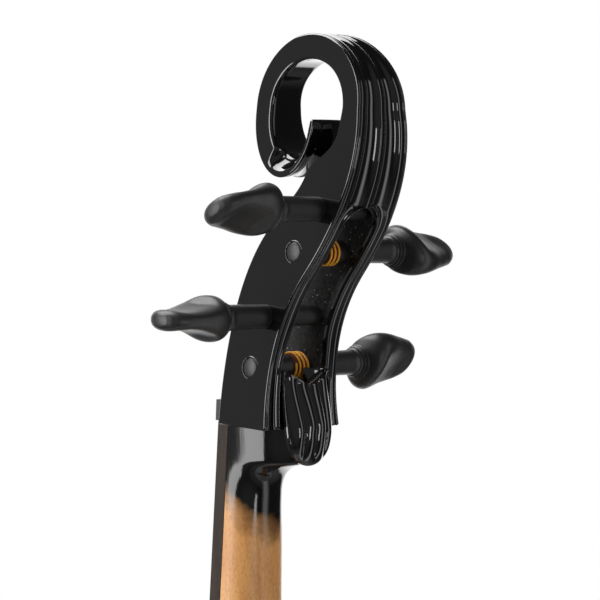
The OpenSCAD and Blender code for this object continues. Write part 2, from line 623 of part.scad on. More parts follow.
module battery_door() color("#1a1a1c") {
    difference() {
        translate([-box_size[0] / 2 + door_gap, back_y - 1.7, box_z + door_gap])
            cube([box_size[0] - 2 * door_gap, 2.2, box_size[2] - 2 * door_gap]);
        translate([0, back_y + 3, box_z + box_size[2] - 5]) rotate([0, 90, 0])
            cylinder(h = 16, r = 3.6, center = true);
    }
    // Two hinge barrels along the lower edge
    for (x = [-20, 20]) translate([x, back_y + 1, box_z + door_barrel_r]) rotate([0, 90, 0])
        cylinder(h = 14, r = door_barrel_r, center = true, $fn = 32);
}
module back_cover() color("#1a1a1c") difference() {
    translate([-pocket[0] / 2 - 2 * cover_lip + 0.3, back_y - cover_thick, pocket_z - 2 * cover_lip + 0.3])
        cube([pocket[0] + 4 * cover_lip - 0.6, cover_thick, pocket[2] + 4 * cover_lip - 0.6]);
    screw_places() cylinder(h = 30, r = 1.6, center = true, $fn = 24);
}
module screw_places() for (x = [-1, 1]) for (z = [-cover_lip, pocket[2] + cover_lip])
    translate([x * (pocket[0] / 2 + cover_lip), back_y, pocket_z + z]) rotate([-90, 0, 0]) children();
module cover_screws() color("#c8c8cc") screw_places() difference() {
    union() {
        translate([0, 0, -12]) cylinder(h = 12, r = 1.5, $fn = 24);
        cylinder(h = 1.6, r = 3, $fn = 24);
    }
    for (a = [0, 90]) rotate([0, 0, a]) translate([-2, -0.4, 0.8]) cube([4, 0.8, 2]);
}

body_core();
neck_and_scroll();
fingerboard();
nut();
saddle();
bridge();
tailpiece();
tail_cord();
pickup_bar();
peg_c();
peg_g();
peg_d();
peg_a();
winding_c();
winding_g();
winding_d();
winding_a();
string_c();
string_g();
string_d();
string_a();
tuner_screw_c();
tuner_screw_g();
tuner_screw_d();
tuner_screw_a();
tuner_lever_c();
tuner_lever_g();
tuner_lever_d();
tuner_lever_a();
endpin_collar();
endpin_screw();
endpin_rod();
endpin_foot();
bass_frame();
treble_frame();
bass_frame_plugs();
treble_frame_plugs();
bass_knee_pad();
treble_knee_pad();
bass_thumbscrew();
treble_thumbscrew();
chest_pad();
volume_knob();
tone_knob();
volume_pot();
tone_pot();
output_jack();
headphone_jack();
preamp_board();
battery();
battery_box();
battery_door();
back_cover();
cover_screws();
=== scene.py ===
import json
from contextlib import contextmanager
from math import atan2, cos, pi, radians, sin, sqrt

import bmesh
import bpy
import numpy as np
from mathutils import Matrix, Vector

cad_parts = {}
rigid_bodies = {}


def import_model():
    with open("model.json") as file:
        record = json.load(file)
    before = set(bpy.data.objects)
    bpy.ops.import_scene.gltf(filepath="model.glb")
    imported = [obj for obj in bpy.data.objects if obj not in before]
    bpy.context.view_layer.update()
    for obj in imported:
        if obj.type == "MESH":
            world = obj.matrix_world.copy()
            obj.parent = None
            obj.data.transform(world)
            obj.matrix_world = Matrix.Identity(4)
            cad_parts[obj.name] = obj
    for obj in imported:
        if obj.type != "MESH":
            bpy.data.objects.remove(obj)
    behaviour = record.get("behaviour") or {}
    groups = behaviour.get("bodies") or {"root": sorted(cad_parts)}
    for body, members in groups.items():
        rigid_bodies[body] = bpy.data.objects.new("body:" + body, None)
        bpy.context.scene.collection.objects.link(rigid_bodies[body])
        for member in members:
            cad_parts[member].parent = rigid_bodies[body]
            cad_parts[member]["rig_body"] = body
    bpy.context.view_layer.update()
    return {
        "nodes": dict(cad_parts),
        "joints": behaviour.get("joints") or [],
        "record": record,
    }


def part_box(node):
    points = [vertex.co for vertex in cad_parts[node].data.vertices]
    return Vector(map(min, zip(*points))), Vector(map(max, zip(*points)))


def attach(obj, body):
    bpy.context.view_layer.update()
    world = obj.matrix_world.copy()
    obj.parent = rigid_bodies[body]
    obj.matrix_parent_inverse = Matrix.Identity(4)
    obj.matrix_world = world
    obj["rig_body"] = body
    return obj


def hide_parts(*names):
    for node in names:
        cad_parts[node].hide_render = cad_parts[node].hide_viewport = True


# Looks of a full-size electric cello. Lengths are millimetres in the neck, tail and body frames,
# and each frame's matrix turns them into metres in the row frame.
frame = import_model()

MM = 0.001


# ---- Frames ----
def placed(origin, back, up):
    """Matrix from millimetres in a frame whose y runs back and whose z runs up to the row frame."""
    m = Matrix.Identity(4)
    for row in range(3):
        m[row][0] = MM * (row == 0)
        m[row][1] = MM * back[row]
        m[row][2] = MM * up[row]
        m[row][3] = origin[row]
    return m


def mount(name):
    return next(m for m in frame["record"]["mounts"] if m["name"] == name)


def joint(name):
    return next(j for j in frame["joints"] if j["name"] == name)


def upright(back):
    """The frame's up, square to back and to +X."""
    return Vector((0, -back[2], back[1]))


YOKE_Y, YOKE_Z = 18, -60  # where the stand's yoke sits in the neck frame
neck_back = Vector(mount("neck_yoke")["axis"])
neck_up = upright(neck_back)
neck_origin = Vector(mount("neck_yoke")["pos_m"]) - MM * (YOKE_Y * neck_back + YOKE_Z * neck_up)
NECK = placed(neck_origin, neck_back, neck_up)
BODY = Matrix.Diagonal((MM, MM, MM, 1))

TUNER_Z = -52  # the tuner screws' place in the tail frame
screw = joint("tuner_screw_g_turn")
tail_back = Vector(screw["axis"])
tail_up = upright(tail_back)
tail_origin = Vector(screw["pos_m"]) - MM * TUNER_Z * tail_up
tail_origin.x = 0
TAIL = placed(tail_origin, tail_back, tail_up)

STRINGS = "cgda"


# ---- Curves ----
def arc(cy, cz, ry, rz, a0, a1, n):
    a = np.radians(np.linspace(a0, a1, n + 1))
    return np.column_stack([cy + ry * np.cos(a), cz + rz * np.sin(a)])


def bezier(points, n):
    a, b, c, d = (np.array(p, float) for p in points)
    t = np.linspace(0, 1, n + 1)[:, None]
    s = 1 - t
    return s * s * s * a + 3 * s * s * t * b + 3 * s * t * t * c + t * t * t * d


def smooth(t):
    t = np.clip(t, 0, 1)
    return t * t * (3 - 2 * t)


def flowing(x, xs, ys):
    """A smooth curve through points, read at x; xs rise."""
    x, xs, ys = np.asarray(x, float), np.asarray(xs, float), np.asarray(ys, float)
    slope = np.gradient(ys, xs)
    i = np.clip(np.searchsorted(xs, x) - 1, 0, len(xs) - 2)
    h = xs[i + 1] - xs[i]
    t = np.clip((x - xs[i]) / h, 0, 1)
    s = 1 - t
    return ((1 + 2 * t) * s * s * ys[i] + t * s * s * h * slope[i] + (3 - 2 * t) * t * t * ys[i + 1]
            - s * t * t * h * slope[i + 1])


class Line:
    """A polyline that is read by its length."""

    def __init__(self, *parts):
        p = np.vstack(parts)
        keep = np.r_[True, np.linalg.norm(np.diff(p, axis=0), axis=1) > 1e-6]
        self.p = p[keep]
        self.s = np.r_[0, np.cumsum(np.linalg.norm(np.diff(self.p, axis=0), axis=1))]

    def at(self, s):
        return np.column_stack([np.interp(s, self.s, self.p[:, k]) for k in range(self.p.shape[1])])

    def near(self, q):
        fine = np.linspace(0, self.s[-1], 6000)
        return fine[np.argmin(np.linalg.norm(self.at(fine) - np.array(q, float), axis=1))]

    def heading(self, s, reach=1.0):
        v = self.at(np.minimum(s + reach, self.s[-1])) - self.at(np.maximum(s - reach, 0))
        return v / np.linalg.norm(v, axis=1)[:, None]


# ---- Meshes ----
def grid_faces(rows, columns, close_rows=False, close_columns=False):
    faces = []
    for i in range(rows if close_rows else rows - 1):
        for k in range(columns if close_columns else columns - 1):
            a, b = i * columns, (i + 1) % rows * columns
            n = (k + 1) % columns
            faces.append((a + k, a + n, b + n, b + k))
    return faces


@contextmanager
def edited(mesh):
    """A bmesh of a mesh, put back with its faces turned outward."""
    bm = bmesh.new()
    bm.from_mesh(mesh)
    yield bm
    bmesh.ops.recalc_face_normals(bm, faces=bm.faces)
    bm.to_mesh(mesh)
    bm.free()


def link(name, data):
    thing = bpy.data.objects.new(name, data)
    bpy.context.scene.collection.objects.link(thing)
    return thing


def add_piece(name, body, materials, shape, place=NECK, replaces=(), sharp=35, marks=None,
              mirror=False, weld=0.002):
    """A new piece in a frame, with smooth shading that breaks at edges over sharp degrees.

    shape is points, faces and perhaps uv. marks says which of the materials each face has, and points
    closer than weld millimetres join.
    """
    verts, faces, *uv = shape
    verts = np.asarray(verts, float).reshape(-1, 3)
    marks = marks or [0] * len(faces)
    if mirror:
        n = len(verts)
        verts = np.vstack([verts, verts * [-1, 1, 1]])
        faces = faces + [tuple(n + v for v in reversed(f)) for f in faces]
        marks = marks * 2
    mesh = bpy.data.meshes.new(name)
    mesh.from_pydata([place @ Vector(v) for v in verts], [], faces)
    mesh.polygons.foreach_set("material_index", marks)
    if uv:
        layer = mesh.uv_layers.new(name="along")
        layer.data.foreach_set("uv", [x for face in uv[0] for corner in face for x in corner])
    with edited(mesh) as bm:
        bmesh.ops.remove_doubles(bm, verts=bm.verts, dist=weld * MM)
        bmesh.ops.dissolve_degenerate(bm, edges=bm.edges, dist=weld * MM)
    return show(name, mesh, body, materials, replaces, sharp)


def show(name, mesh, body, materials, replaces=(), sharp=35):
    if mesh.materials:
        mesh.materials.clear()
    for m in materials if isinstance(materials, (list, tuple)) else [materials]:
        mesh.materials.append(m)
    mesh.shade_smooth()
    mesh.set_sharp_from_angle(angle=radians(sharp))
    piece = link(name, mesh)
    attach(piece, body)
    if replaces:
        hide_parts(*replaces)
    return piece


def loft(rings):
    """Points and faces of closed rings of equal length, capped at both ends."""
    rings = np.asarray(rings, float)
    n, k = rings.shape[:2]
    faces = grid_faces(n, k, close_columns=True)
    faces.append(tuple(range(k - 1, -1, -1)))
    faces.append(tuple((n - 1) * k + i for i in range(k)))
    return rings.reshape(-1, 3), faces


def around(sides):
    """The angles of a round section's corners."""
    return np.linspace(0, 2 * pi, sides, endpoint=False)


def level(x, y, z):
    """A ring of points at one height."""
    return np.column_stack([x, y, np.full_like(x, z)])


def lathe(profile, sides=64):
    """A solid turned round z from (radius, z) pairs that start and end on the axis."""
    return loft([[(r * cos(t), r * sin(t), z) for t in around(sides)] for r, z in profile])


def oval(a, half, depth, power):
    """(x, y) at angles a of an oval: power 2 makes an ellipse, more makes it squarer."""
    c, s = np.cos(a), np.sin(a)
    return half * np.sign(c) * np.abs(c) ** (2 / power), depth * np.sign(s) * np.abs(s) ** (2 / power)


def tube(points, radius, sides=16):
    """Points, faces and uv of a round tube along a line; u is the length along it in millimetres."""
    p = np.asarray(points, float)
    t = np.gradient(p, axis=0)
    t /= np.linalg.norm(t, axis=1)[:, None]
    side = np.cross(t[0], (0.3, 0.5, 0.8))     # any direction that no tube starts along
    rings = []
    for i in range(len(p)):
        side = side - t[i] * np.dot(side, t[i])
        side /= np.linalg.norm(side)
        across = np.cross(t[i], side)
        rings.append([p[i] + radius * (side * cos(x) + across * sin(x)) for x in around(sides)])
    verts, faces = loft(rings)
    u = np.r_[0, np.cumsum(np.linalg.norm(np.diff(p, axis=0), axis=1))]
    v = [k / sides for k in range(sides + 1)]
    uv = [[(a, v[k]), (a, v[k + 1]), (b, v[k + 1]), (b, v[k])] for a, b in zip(u, u[1:])
          for k in range(sides)]
    uv += [[(0, 0)] * sides, [(u[-1], 0)] * sides]
    return verts, faces, uv


def block(low, high):
    x0, y0, z0 = low
    x1, y1, z1 = high
    verts = [(x, y, z) for x in (x0, x1) for y in (y0, y1) for z in (z0, z1)]
    return verts, [(0, 1, 3, 2), (4, 6, 7, 5), (0, 4, 5, 1), (2, 3, 7, 6), (0, 2, 6, 4), (1, 5, 7, 3)]


SAME_POINT, FLAT_ANGLE = 2e-6, 0.4  # metres and degrees within which CAD points and facets join
BEVEL_ANGLE = 35  # degrees between faces from which an edge is rounded


def bevelled(node, material, width, segments=2):
    """A CAD node's shape again as a new piece, with its coplanar facets joined and its edges rounded."""
    source = frame["nodes"][node]
    mesh = source.data.copy()
    mesh.name = node + "_mesh"
    with edited(mesh) as bm:
        bmesh.ops.remove_doubles(bm, verts=bm.verts, dist=SAME_POINT)
        bmesh.ops.dissolve_limit(bm, angle_limit=radians(FLAT_ANGLE), verts=bm.verts, edges=bm.edges)
    piece = show(node + "_detail", mesh, source["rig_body"], material, (node,), BEVEL_ANGLE)
    if width:
        bevel = piece.modifiers.new("edges", "BEVEL")
        bevel.width, bevel.segments = width * MM, segments
        bevel.limit_method, bevel.angle_limit = "ANGLE", radians(BEVEL_ANGLE)


# ---- Materials ----
class Graph:
    """The shader nodes of a material or a world."""

    def __init__(self, owner):
        owner.use_nodes = True
        self.nodes, self.links = owner.node_tree.nodes, owner.node_tree.links
        self.nodes.clear()

    def node(self, kind, inputs=(), **settings):
        n = self.nodes.new("ShaderNode" + kind)
        for k, v in settings.items():
            setattr(n, k, v)
        for socket, value in dict(inputs).items():
            if isinstance(value, bpy.types.NodeSocket):
                self.links.new(value, n.inputs[socket])
            else:
                n.inputs[socket].default_value = value
        return n

    def math(self, operation, a, b=0.0, c=0.0, clamp=False):
        return self.node("Math", {0: a, 1: b, 2: c}, operation=operation, use_clamp=clamp).outputs[0]

    def dot(self, vector, axis):
        return self.node("VectorMath", {0: vector, 1: tuple(axis)}, operation="DOT_PRODUCT").outputs["Value"]

    def span(self, value, a0, a1, b0, b1, **settings):
        """Runs from b0 to b1 while a value runs from a0 to a1."""
        return self.node("MapRange", {"Value": value, "From Min": a0, "From Max": a1, "To Min": b0,
                                      "To Max": b1}, **settings).outputs[0]


class Look(Graph):
    """A procedural material round one Principled shader, in the piece's own coordinates in metres."""

    def __init__(self, name, base, rough, **sockets):
        self.material = bpy.data.materials.new(name)
        super().__init__(self.material)
        self.shader = self.node("BsdfPrincipled", {"Base Color": (*base, 1), "Roughness": rough})
        for socket, value in sockets.items():
            self.shader.inputs[socket.replace("_", " ")].default_value = value
        self.node("OutputMaterial", {0: self.shader.outputs[0]})
        self.place = self.node("TexCoord").outputs["Object"]

    def stretched(self, *scale):
        return self.node("Mapping", {"Vector": self.place, "Scale": scale}).outputs[0]

    def noise(self, scale, detail=3, rough=0.5, where=None):
        return self.node("TexNoise", {"Vector": where or self.place, "Scale": scale, "Detail": detail,
                                      "Roughness": rough}).outputs["Fac"]

    def speckle(self, scale, where=None):
        return self.node("TexVoronoi", {"Vector": where or self.place, "Scale": scale}).outputs["Distance"]

    def mix(self, fac, a, b):
        a, b = (v if isinstance(v, bpy.types.NodeSocket) else (*v, 1) for v in (a, b))
        return self.node("Mix", {"Factor": fac, 6: a, 7: b}, data_type="RGBA").outputs[2]

    def blend(self, value, a0, a1, a, b, most=1):
        """Colour a turns into b, or a share of the way to it, while a value runs from a0 to a1."""
        return self.mix(self.span(value, a0, a1, 0, most), a, b)

    def color(self, socket):
        self.links.new(socket, self.shader.inputs["Base Color"])

    def rough(self, value, b0, b1, a0=0.3, a1=0.7):
        self.links.new(self.span(value, a0, a1, b0, b1), self.shader.inputs["Roughness"])

    def bump(self, height, strength, distance):
        """Adds a layer of relief; distance is its height in metres."""
        old = self.shader.inputs["Normal"].links
        inputs = {"Height": height, "Strength": strength, "Distance": distance}
        if old:
            inputs["Normal"] = old[0].from_socket
        self.links.new(self.node("Bump", inputs).outputs[0], self.shader.inputs["Normal"])


def lacquer_look():
    look = Look("black_lacquer", (0.0045, 0.0042, 0.005), 0.07, Coat_Weight=0.7, Coat_Roughness=0.03)
    look.rough(look.noise(14), 0.05, 0.1)
    look.color(look.mix(look.noise(30), (0.0035, 0.0033, 0.004), (0.0055, 0.005, 0.006)))
    look.bump(look.noise(35, 1), 0.02, 0.0004)
    return look.material


def dusty_look():
    """The unpolished inside of the pegbox: flat black with dust and scratches."""
    look = Look("dusty_black", (0.01, 0.01, 0.01), 0.6, Specular_IOR_Level=0.35)
    dirt = look.span(look.noise(420, 6, 0.75), 0.45, 0.75, 0, 0.12)
    specks = look.span(look.speckle(360), 0.09, 0.16, 1, 0)
    grit = look.span(look.noise(1300, 3, 0.8), 0.66, 0.72, 0, 0.5)
    scratches = look.span(look.noise(120, 5, 0.8, look.stretched(1, 5, 2)), 0.66, 0.73, 0, 0.6)
    for more in (specks, grit, scratches):
        dirt = look.math("MAXIMUM", dirt, more)
    look.color(look.mix(dirt, (0.008, 0.008, 0.0085), (0.38, 0.37, 0.34)))
    look.rough(dirt, 0.55, 0.85, 0, 1)
    look.bump(look.noise(700, 6, 0.7), 0.35, 0.0006)
    return look.material


def satin_black_look():
    look = Look("satin_black", (0.014, 0.0138, 0.0135), 0.42, Specular_IOR_Level=0.6)
    grain = look.noise(220, 4, 0.6, look.stretched(0.25, 1, 1))
    look.color(look.mix(grain, (0.011, 0.011, 0.0108), (0.02, 0.0197, 0.019)))
    look.rough(look.noise(60, 4), 0.38, 0.48)
    look.bump(grain, 0.08, 0.0004)
    look.bump(look.noise(1500), 0.05, 0.0002)
    return look.material


FADE_LEAN, FADE_PLACE = 0.97, 38.0  # the black's edge: its rise per millimetre of depth, and its place
FADE_START, FADE_END = -10, 8  # distances from that edge at which black starts and is full


def along_neck(look, axis):
    """Distance along an axis of the neck frame, in millimetres."""
    shifted = look.node("VectorMath", {0: look.place, 1: tuple(neck_origin)}, operation="SUBTRACT")
    return look.math("MULTIPLY", look.dot(shifted.outputs[0], axis), 1 / MM)


def neck_look():
    """Clear satin maple that runs into gloss black below the head."""
    look = Look("maple_into_black", (0.6, 0.35, 0.15), 0.4)
    fibre = look.noise(420, 5, 0.65, look.stretched(1, 1, 0.05))
    figure = look.noise(38, 3, 0.5, look.stretched(1, 1, 0.6))
    fleck = look.noise(1100, 2, 0.5, look.stretched(1, 1, 0.45))
    wood = look.blend(fibre, 0.3, 0.7, (0.7, 0.29, 0.08), (0.9, 0.45, 0.15))
    wood = look.blend(figure, 0.35, 0.7, wood, (0.95, 0.52, 0.2), 0.45)
    wood = look.blend(fleck, 0.5, 0.66, wood, (0.52, 0.2, 0.05), 0.45)
    edge = look.math("MULTIPLY_ADD", along_neck(look, neck_back), FADE_LEAN, FADE_PLACE)
    above = look.math("ADD", along_neck(look, neck_up), edge)
    blotch = look.span(look.noise(75), 0.2, 0.8, -7, 7)
    fade = look.span(look.math("ADD", above, blotch), FADE_START, FADE_END, 0, 1)
    # Fine grain where the two run together, none where either is pure
    fine = look.span(look.noise(500, 4), 0.3, 0.7, -0.12, 0.12)
    mixed = look.math("MULTIPLY", fade, look.math("SUBTRACT", 1.0, fade))
    fade = look.math("ADD", fade, look.math("MULTIPLY", fine, mixed), clamp=True)
    look.color(look.mix(fade, wood, (0.006, 0.006, 0.007)))
    look.rough(fade, 0.38, 0.1, 0, 1)
    look.bump(fibre, 0.12, 0.0003)
    return look.material


def ebony_look():
    look = Look("ebony", (0.02, 0.016, 0.014), 0.36, Specular_IOR_Level=0.22)
    streak = look.noise(260, 5, 0.6, look.stretched(1, 1, 0.04))
    pores = look.span(look.noise(2600, 2, 0.5, look.stretched(1, 1, 0.06)), 0.62, 0.7, 0, 1)
    tone = look.blend(streak, 0.35, 0.65, (0.026, 0.017, 0.012), (0.05, 0.034, 0.024))
    look.color(look.mix(pores, tone, (0.009, 0.006, 0.004)))
    look.rough(streak, 0.42, 0.56)
    look.bump(pores, 0.2, 0.0002)
    return look.material


def maple_look():
    look = Look("bare_maple", (0.6, 0.38, 0.18), 0.5)
    ray = look.noise(900, 4, 0.6, look.stretched(1, 0.2, 0.08))
    look.color(look.blend(ray, 0.3, 0.7, (0.5, 0.29, 0.12), (0.7, 0.45, 0.23)))
    look.rough(ray, 0.42, 0.58)
    look.bump(ray, 0.15, 0.0003)
    return look.material


def metal_look(name, base, rough, grain=(1, 1, 1), wear=0.08):
    look = Look(name, base, rough, Metallic=1.0)
    brushed = look.noise(1600, 3, 0.6, look.stretched(*grain))
    look.rough(brushed, max(rough - wear, 0.04), rough + wear)
    look.color(look.blend(look.noise(130, 4), 0.45, 0.75, base, tuple(0.72 * c for c in base), 0.6))
    look.bump(brushed, 0.05, 0.0001)
    return look.material


def plastic_look(name, base, rough, pebble=900, depth=0.12):
    look = Look(name, base, rough)
    look.color(look.mix(look.noise(70, 4), base, tuple(min(1, 1.6 * c + 0.004) for c in base)))
    look.rough(look.noise(120), rough - 0.07, rough + 0.09)
    look.bump(look.noise(pebble), depth, 0.0003)
    return look.material


def ribbed_look(name, dark, light, pitch, turns, rough, depth, **sockets):
    """Thread, silk or wire wrapped round a tube, coloured with painted shade in the grooves and a painted
    highlight on the crests; pitch is in millimetres along the tube's uv.
    """
    look = Look(name, light, rough, **sockets)
    u, v = look.node("SeparateXYZ", {0: look.node("UVMap", uv_map="along").outputs[0]}).outputs[:2]
    twist = look.math("MULTIPLY_ADD", v, turns, look.math("DIVIDE", u, pitch))
    wave = look.math("SINE", look.math("MULTIPLY", twist, 2 * pi))
    ridge = look.span(wave, -1, 1, 0, 1)
    patchy = look.span(look.noise(500), 0.3, 0.7, -0.25, 0.25)
    # Painted shade and highlight: dark in the grooves, light on the crests, following the relief, with random
    # patches
    look.color(look.mix(look.math("ADD", ridge, patchy, clamp=True), dark, light))
    look.bump(ridge, depth, 0.0004)
    return look.material


def board_look():
    look = Look("solder_mask", (0.02, 0.14, 0.05), 0.35)
    tracks = look.span(look.speckle(260, look.stretched(1, 0.2, 1)), 0.0, 0.1, 1, 0)
    look.color(look.mix(tracks, (0.015, 0.11, 0.04), (0.06, 0.24, 0.1)))
    look.bump(tracks, 0.2, 0.0002)
    return look.material


def battery_look():
    look = Look("battery_can", (0.5, 0.3, 0.06), 0.3, Metallic=0.8)
    x = look.node("SeparateXYZ", {0: look.place}).outputs[0]
    look.color(look.blend(x, -0.0035, -0.004, (0.45, 0.27, 0.05), (0.02, 0.02, 0.02)))
    look.rough(look.noise(200), 0.25, 0.4)
    return look.material


LACQUER = lacquer_look()
DUSTY = dusty_look()
SATIN = satin_black_look()
NECK_WOOD = neck_look()
EBONY = ebony_look()
MAPLE = maple_look()
NICKEL = metal_look("nickel_plate", (0.62, 0.6, 0.57), 0.16, (1, 1, 0.1))
STEEL = metal_look("zinc_plate", (0.42, 0.42, 0.44), 0.36, (1, 1, 1), 0.12)
# Wound steel, silk and cord: each has painted shade in its grooves and a painted highlight on its crests
WOUND = ribbed_look("flat_wound_steel", (0.22, 0.22, 0.23), (0.62, 0.61, 0.6), 0.5, 0, 0.3, 0.3,
                    Metallic=1.0)
SILK = ribbed_look("orange_silk", (0.95, 0.3, 0.01), (1.0, 0.58, 0.04), 0.62, 2, 0.5, 0.5)
UNDERLAY = plastic_look("dark_red_underlay", (0.07, 0.008, 0.004), 0.6)
CORD = ribbed_look("woven_cord", (0.008, 0.008, 0.009), (0.035, 0.035, 0.037), 1.3, 3, 0.7, 0.8)
PLASTIC = plastic_look("moulded_plastic", (0.014, 0.014, 0.015), 0.38)
TAIL_PLASTIC = plastic_look("tailpiece_resin", (0.013, 0.013, 0.014), 0.26, 500, 0.05)
RUBBER = plastic_look("rubber", (0.016, 0.016, 0.0165), 0.75, 1500, 0.4)
CIRCUIT = board_look()
BATTERY = battery_look()


# ---- Head: fluted half mesh, mirrored ----
CHEEK_BASE, CHEEK_BACK, CHEEK_RISE = 24.29, 0.0968, -0.0895  # at (0, 0), and the slopes by y and z


def cheek(p):
    """Half width of the head at a point (y, z) of its side view."""
    return CHEEK_BASE + CHEEK_BACK * p[..., 0] + CHEEK_RISE * p[..., 1]


FINE = 900  # steps in each curve, many more than there are stations
FRONT = Line([(0.7, 0)], bezier([(0.7, 8), (0.7, 38), (5, 75), (24, 99.6)], FINE),
             bezier([(24, 99.6), (32, 110.5), (47, 121), (52, 132)], FINE),
             bezier([(52, 132), (54.5, 141), (73.5, 142), (74, 157.5)], FINE),
             arc(47.8, 166.5, 26.9, 24.5, 0, 180, FINE), arc(36, 163, 15.1, 22, 180, 350, FINE))
BACK = Line(bezier([(39, 0), (35.5, 28), (40, 56), (58, 80)], FINE),
            bezier([(58, 80), (74, 101), (90.9, 128), (88.9, 160)], FINE),
            arc(48, 167, 40.2, 37.4, 0, 180, FINE), arc(31.3, 163, 23.5, 33.4, 180, 350, FINE))
# Where each front point is joined straight across to the back: side view points in pairs
PAIRS = [((0.7, 0), (39, 0)), ((0.9, 20), (38, 26)), ((8.2, 70), (46, 62)), ((24, 99.6), (60, 83)),
         ((48, 125.5), (80, 113)), ((72.6, 151), (89, 150)), ((74.7, 166.5), (88.3, 167)),
         ((47.8, 191), (48, 204.5)), ((20.9, 165), (7.7, 165)), ((26.6, 145.7), (20.5, 133.8)),
         ((36, 141), (32, 129.5)), ((50.9, 159.2), (54.5, 157.2))]
PEGBOX_PAIR = 5  # the pair at which the pegbox, with its hollow, ends
STEP_PAIR = 9  # the pair at which the curl's flat face ends and its scoop begins
STATION = 1.5  # distance between stations, about

# The opening in the back: heights of the V's point, its wide end, the start of the straight edges and
# the foot of the arch, and how far the arch rises
V_POINT, V_END, STRAIGHT, SLOT_ARCH, ARCH_RISE = 19.5, 30.0, 56, 104.0, 12.0
V_HALF, OPENING_LOW, OPENING_HIGH = 16.0, 13.3, 12.5  # half widths at the V's end, STRAIGHT and the arch
SLOT_FLOOR, CAVITY_LOW, CAVITY_HIGH = 14.5, 15.2, 12.8  # the hollow's floor and half widths
LIP = 3.0  # thickness of the shell round the opening in the back
WINDING_ROOM = (64, 115, 12.2, 12.5)  # hollow for the highest winding: y, z, radius, half width


def arched(z, half):
    """Half width by height of an arch over the top of the pegbox's hollow."""
    return half * np.sqrt(np.clip(1 - ((z - SLOT_ARCH) / ARCH_RISE) ** 2, 0, 1))


def opening_half(z):
    """Half width of the opening in the back, by height."""
    low = V_HALF * (z - V_POINT) / (V_END - V_POINT)
    taper = V_HALF + (OPENING_LOW - V_HALF) * smooth((z - V_END) / (STRAIGHT - V_END))
    high = OPENING_LOW + (OPENING_HIGH - OPENING_LOW) * (z - STRAIGHT) / (SLOT_ARCH - STRAIGHT)
    return np.select([z < V_POINT, z < V_END, z < STRAIGHT, z < SLOT_ARCH, z < SLOT_ARCH + ARCH_RISE],
                     [0 * z, low, taper, high, arched(z, OPENING_HIGH)], 0 * z)


def cavity_half(p):
    """Half width of the pegbox's hollow at a point of the side view."""
    y, z = p[..., 0], p[..., 1]
    share = (z - SLOT_FLOOR) / (SLOT_ARCH - SLOT_FLOOR)
    slot = np.select([z < SLOT_FLOOR, z < SLOT_ARCH, z < SLOT_ARCH + ARCH_RISE],
                     [0 * z, CAVITY_LOW + (CAVITY_HIGH - CAVITY_LOW) * share, arched(z, CAVITY_HIGH)], 0 * z)
    cy, cz, r, half = WINDING_ROOM
    away = np.hypot(y - cy, z - cz) / r
    return np.maximum(slot, half * np.sqrt(np.clip(1 - away ** 4, 0, 1)))


# Fluted back: distance from the outer edge, and how far the surface lies under the corner
EDGE_R = 1.1
RIDGE = [(1.1, 0.06), (1.5, 0.1), (1.75, 0.25), (1.95, 0.55), (2.15, 0.6), (2.35, 0.34), (2.6, 0.17),
         (3.0, 0.09), (3.6, 0.06), (4.2, 0.06), (4.8, 0.1), (5.4, 0.22), (5.9, 0.45), (6.3, 0.72),
         (6.6, 0.98)]
SPINE = [(1.5, 0.34), (1.2, 0.18), (0.8, 0.09), (0.4, 0.06), (0.0, 0.06)]  # from the inner edge
RIDGE_FULL = 15.0  # half width of the back from which the ridges have their full size
FLUTE_FULL, FLUTE_DEEP, FLUTE_STEPS = 13.0, 2.9, 16  # width from which a flute has its full depth
LIP_DROP = 1.3  # how far the edge of the opening is rounded down


def flute_profile(width, hollow, fade):
    """(distance from the edge, depth) across the back of one half of the given width."""
    k = min(1.0, width / RIDGE_FULL)
    rows = [(e * k, d * k) for e, d in RIDGE]
    (ridge_end, ridge_low), (spine_start, spine_low) = RIDGE[-1], SPINE[0]
    start, end = ridge_end * k, width - spine_start * k
    dip = FLUTE_DEEP * min(1.0, (end - start) / FLUTE_FULL) ** 0.75
    for t in np.arange(1, FLUTE_STEPS) / FLUTE_STEPS:
        under = k * (ridge_low + (spine_low - ridge_low) * t)
        rows.append((start + (end - start) * t, under + dip * (4 * t * (1 - t)) ** 0.8))
    rows += [(width - e * k, d * k + hollow * LIP_DROP * (1 - e / spine_start) ** 2) for e, d in SPINE]
    return [(e, d * fade) for e, d in rows]


def head_stations():
    """Places along the head: in pairs passed, and as lengths on the front and back lines."""
    pairs = range(len(PAIRS))
    f_keys = [FRONT.near(p) for p, q in PAIRS]
    b_keys = [BACK.near(q) for p, q in PAIRS]
    keys = []
    for i in pairs[:-1]:
        length = max(f_keys[i + 1] - f_keys[i], b_keys[i + 1] - b_keys[i])
        n = max(2, int(round(length / STATION)))
        keys += [i + k / n for k in range(n)]
    keys = np.array(keys + [pairs[-1]])
    back_z = BACK.at(np.interp(keys, pairs, b_keys))[:, 1]
    pegbox = keys < PEGBOX_PAIR
    # Close stations round the V and the arch, where the opening's width changes fast
    wanted = list(np.linspace(V_POINT, V_END, 9)) + [
        SLOT_ARCH + ARCH_RISE * sin(radians(a)) for a in range(0, 91, 6)]
    extra = [np.interp(z, back_z[pegbox], keys[pegbox]) for z in wanted]
    keys = np.array(sorted([k for k in keys if all(abs(k - e) > 0.02 for e in extra)] + extra))
    return keys, np.interp(keys, pairs, f_keys), np.interp(keys, pairs, b_keys)


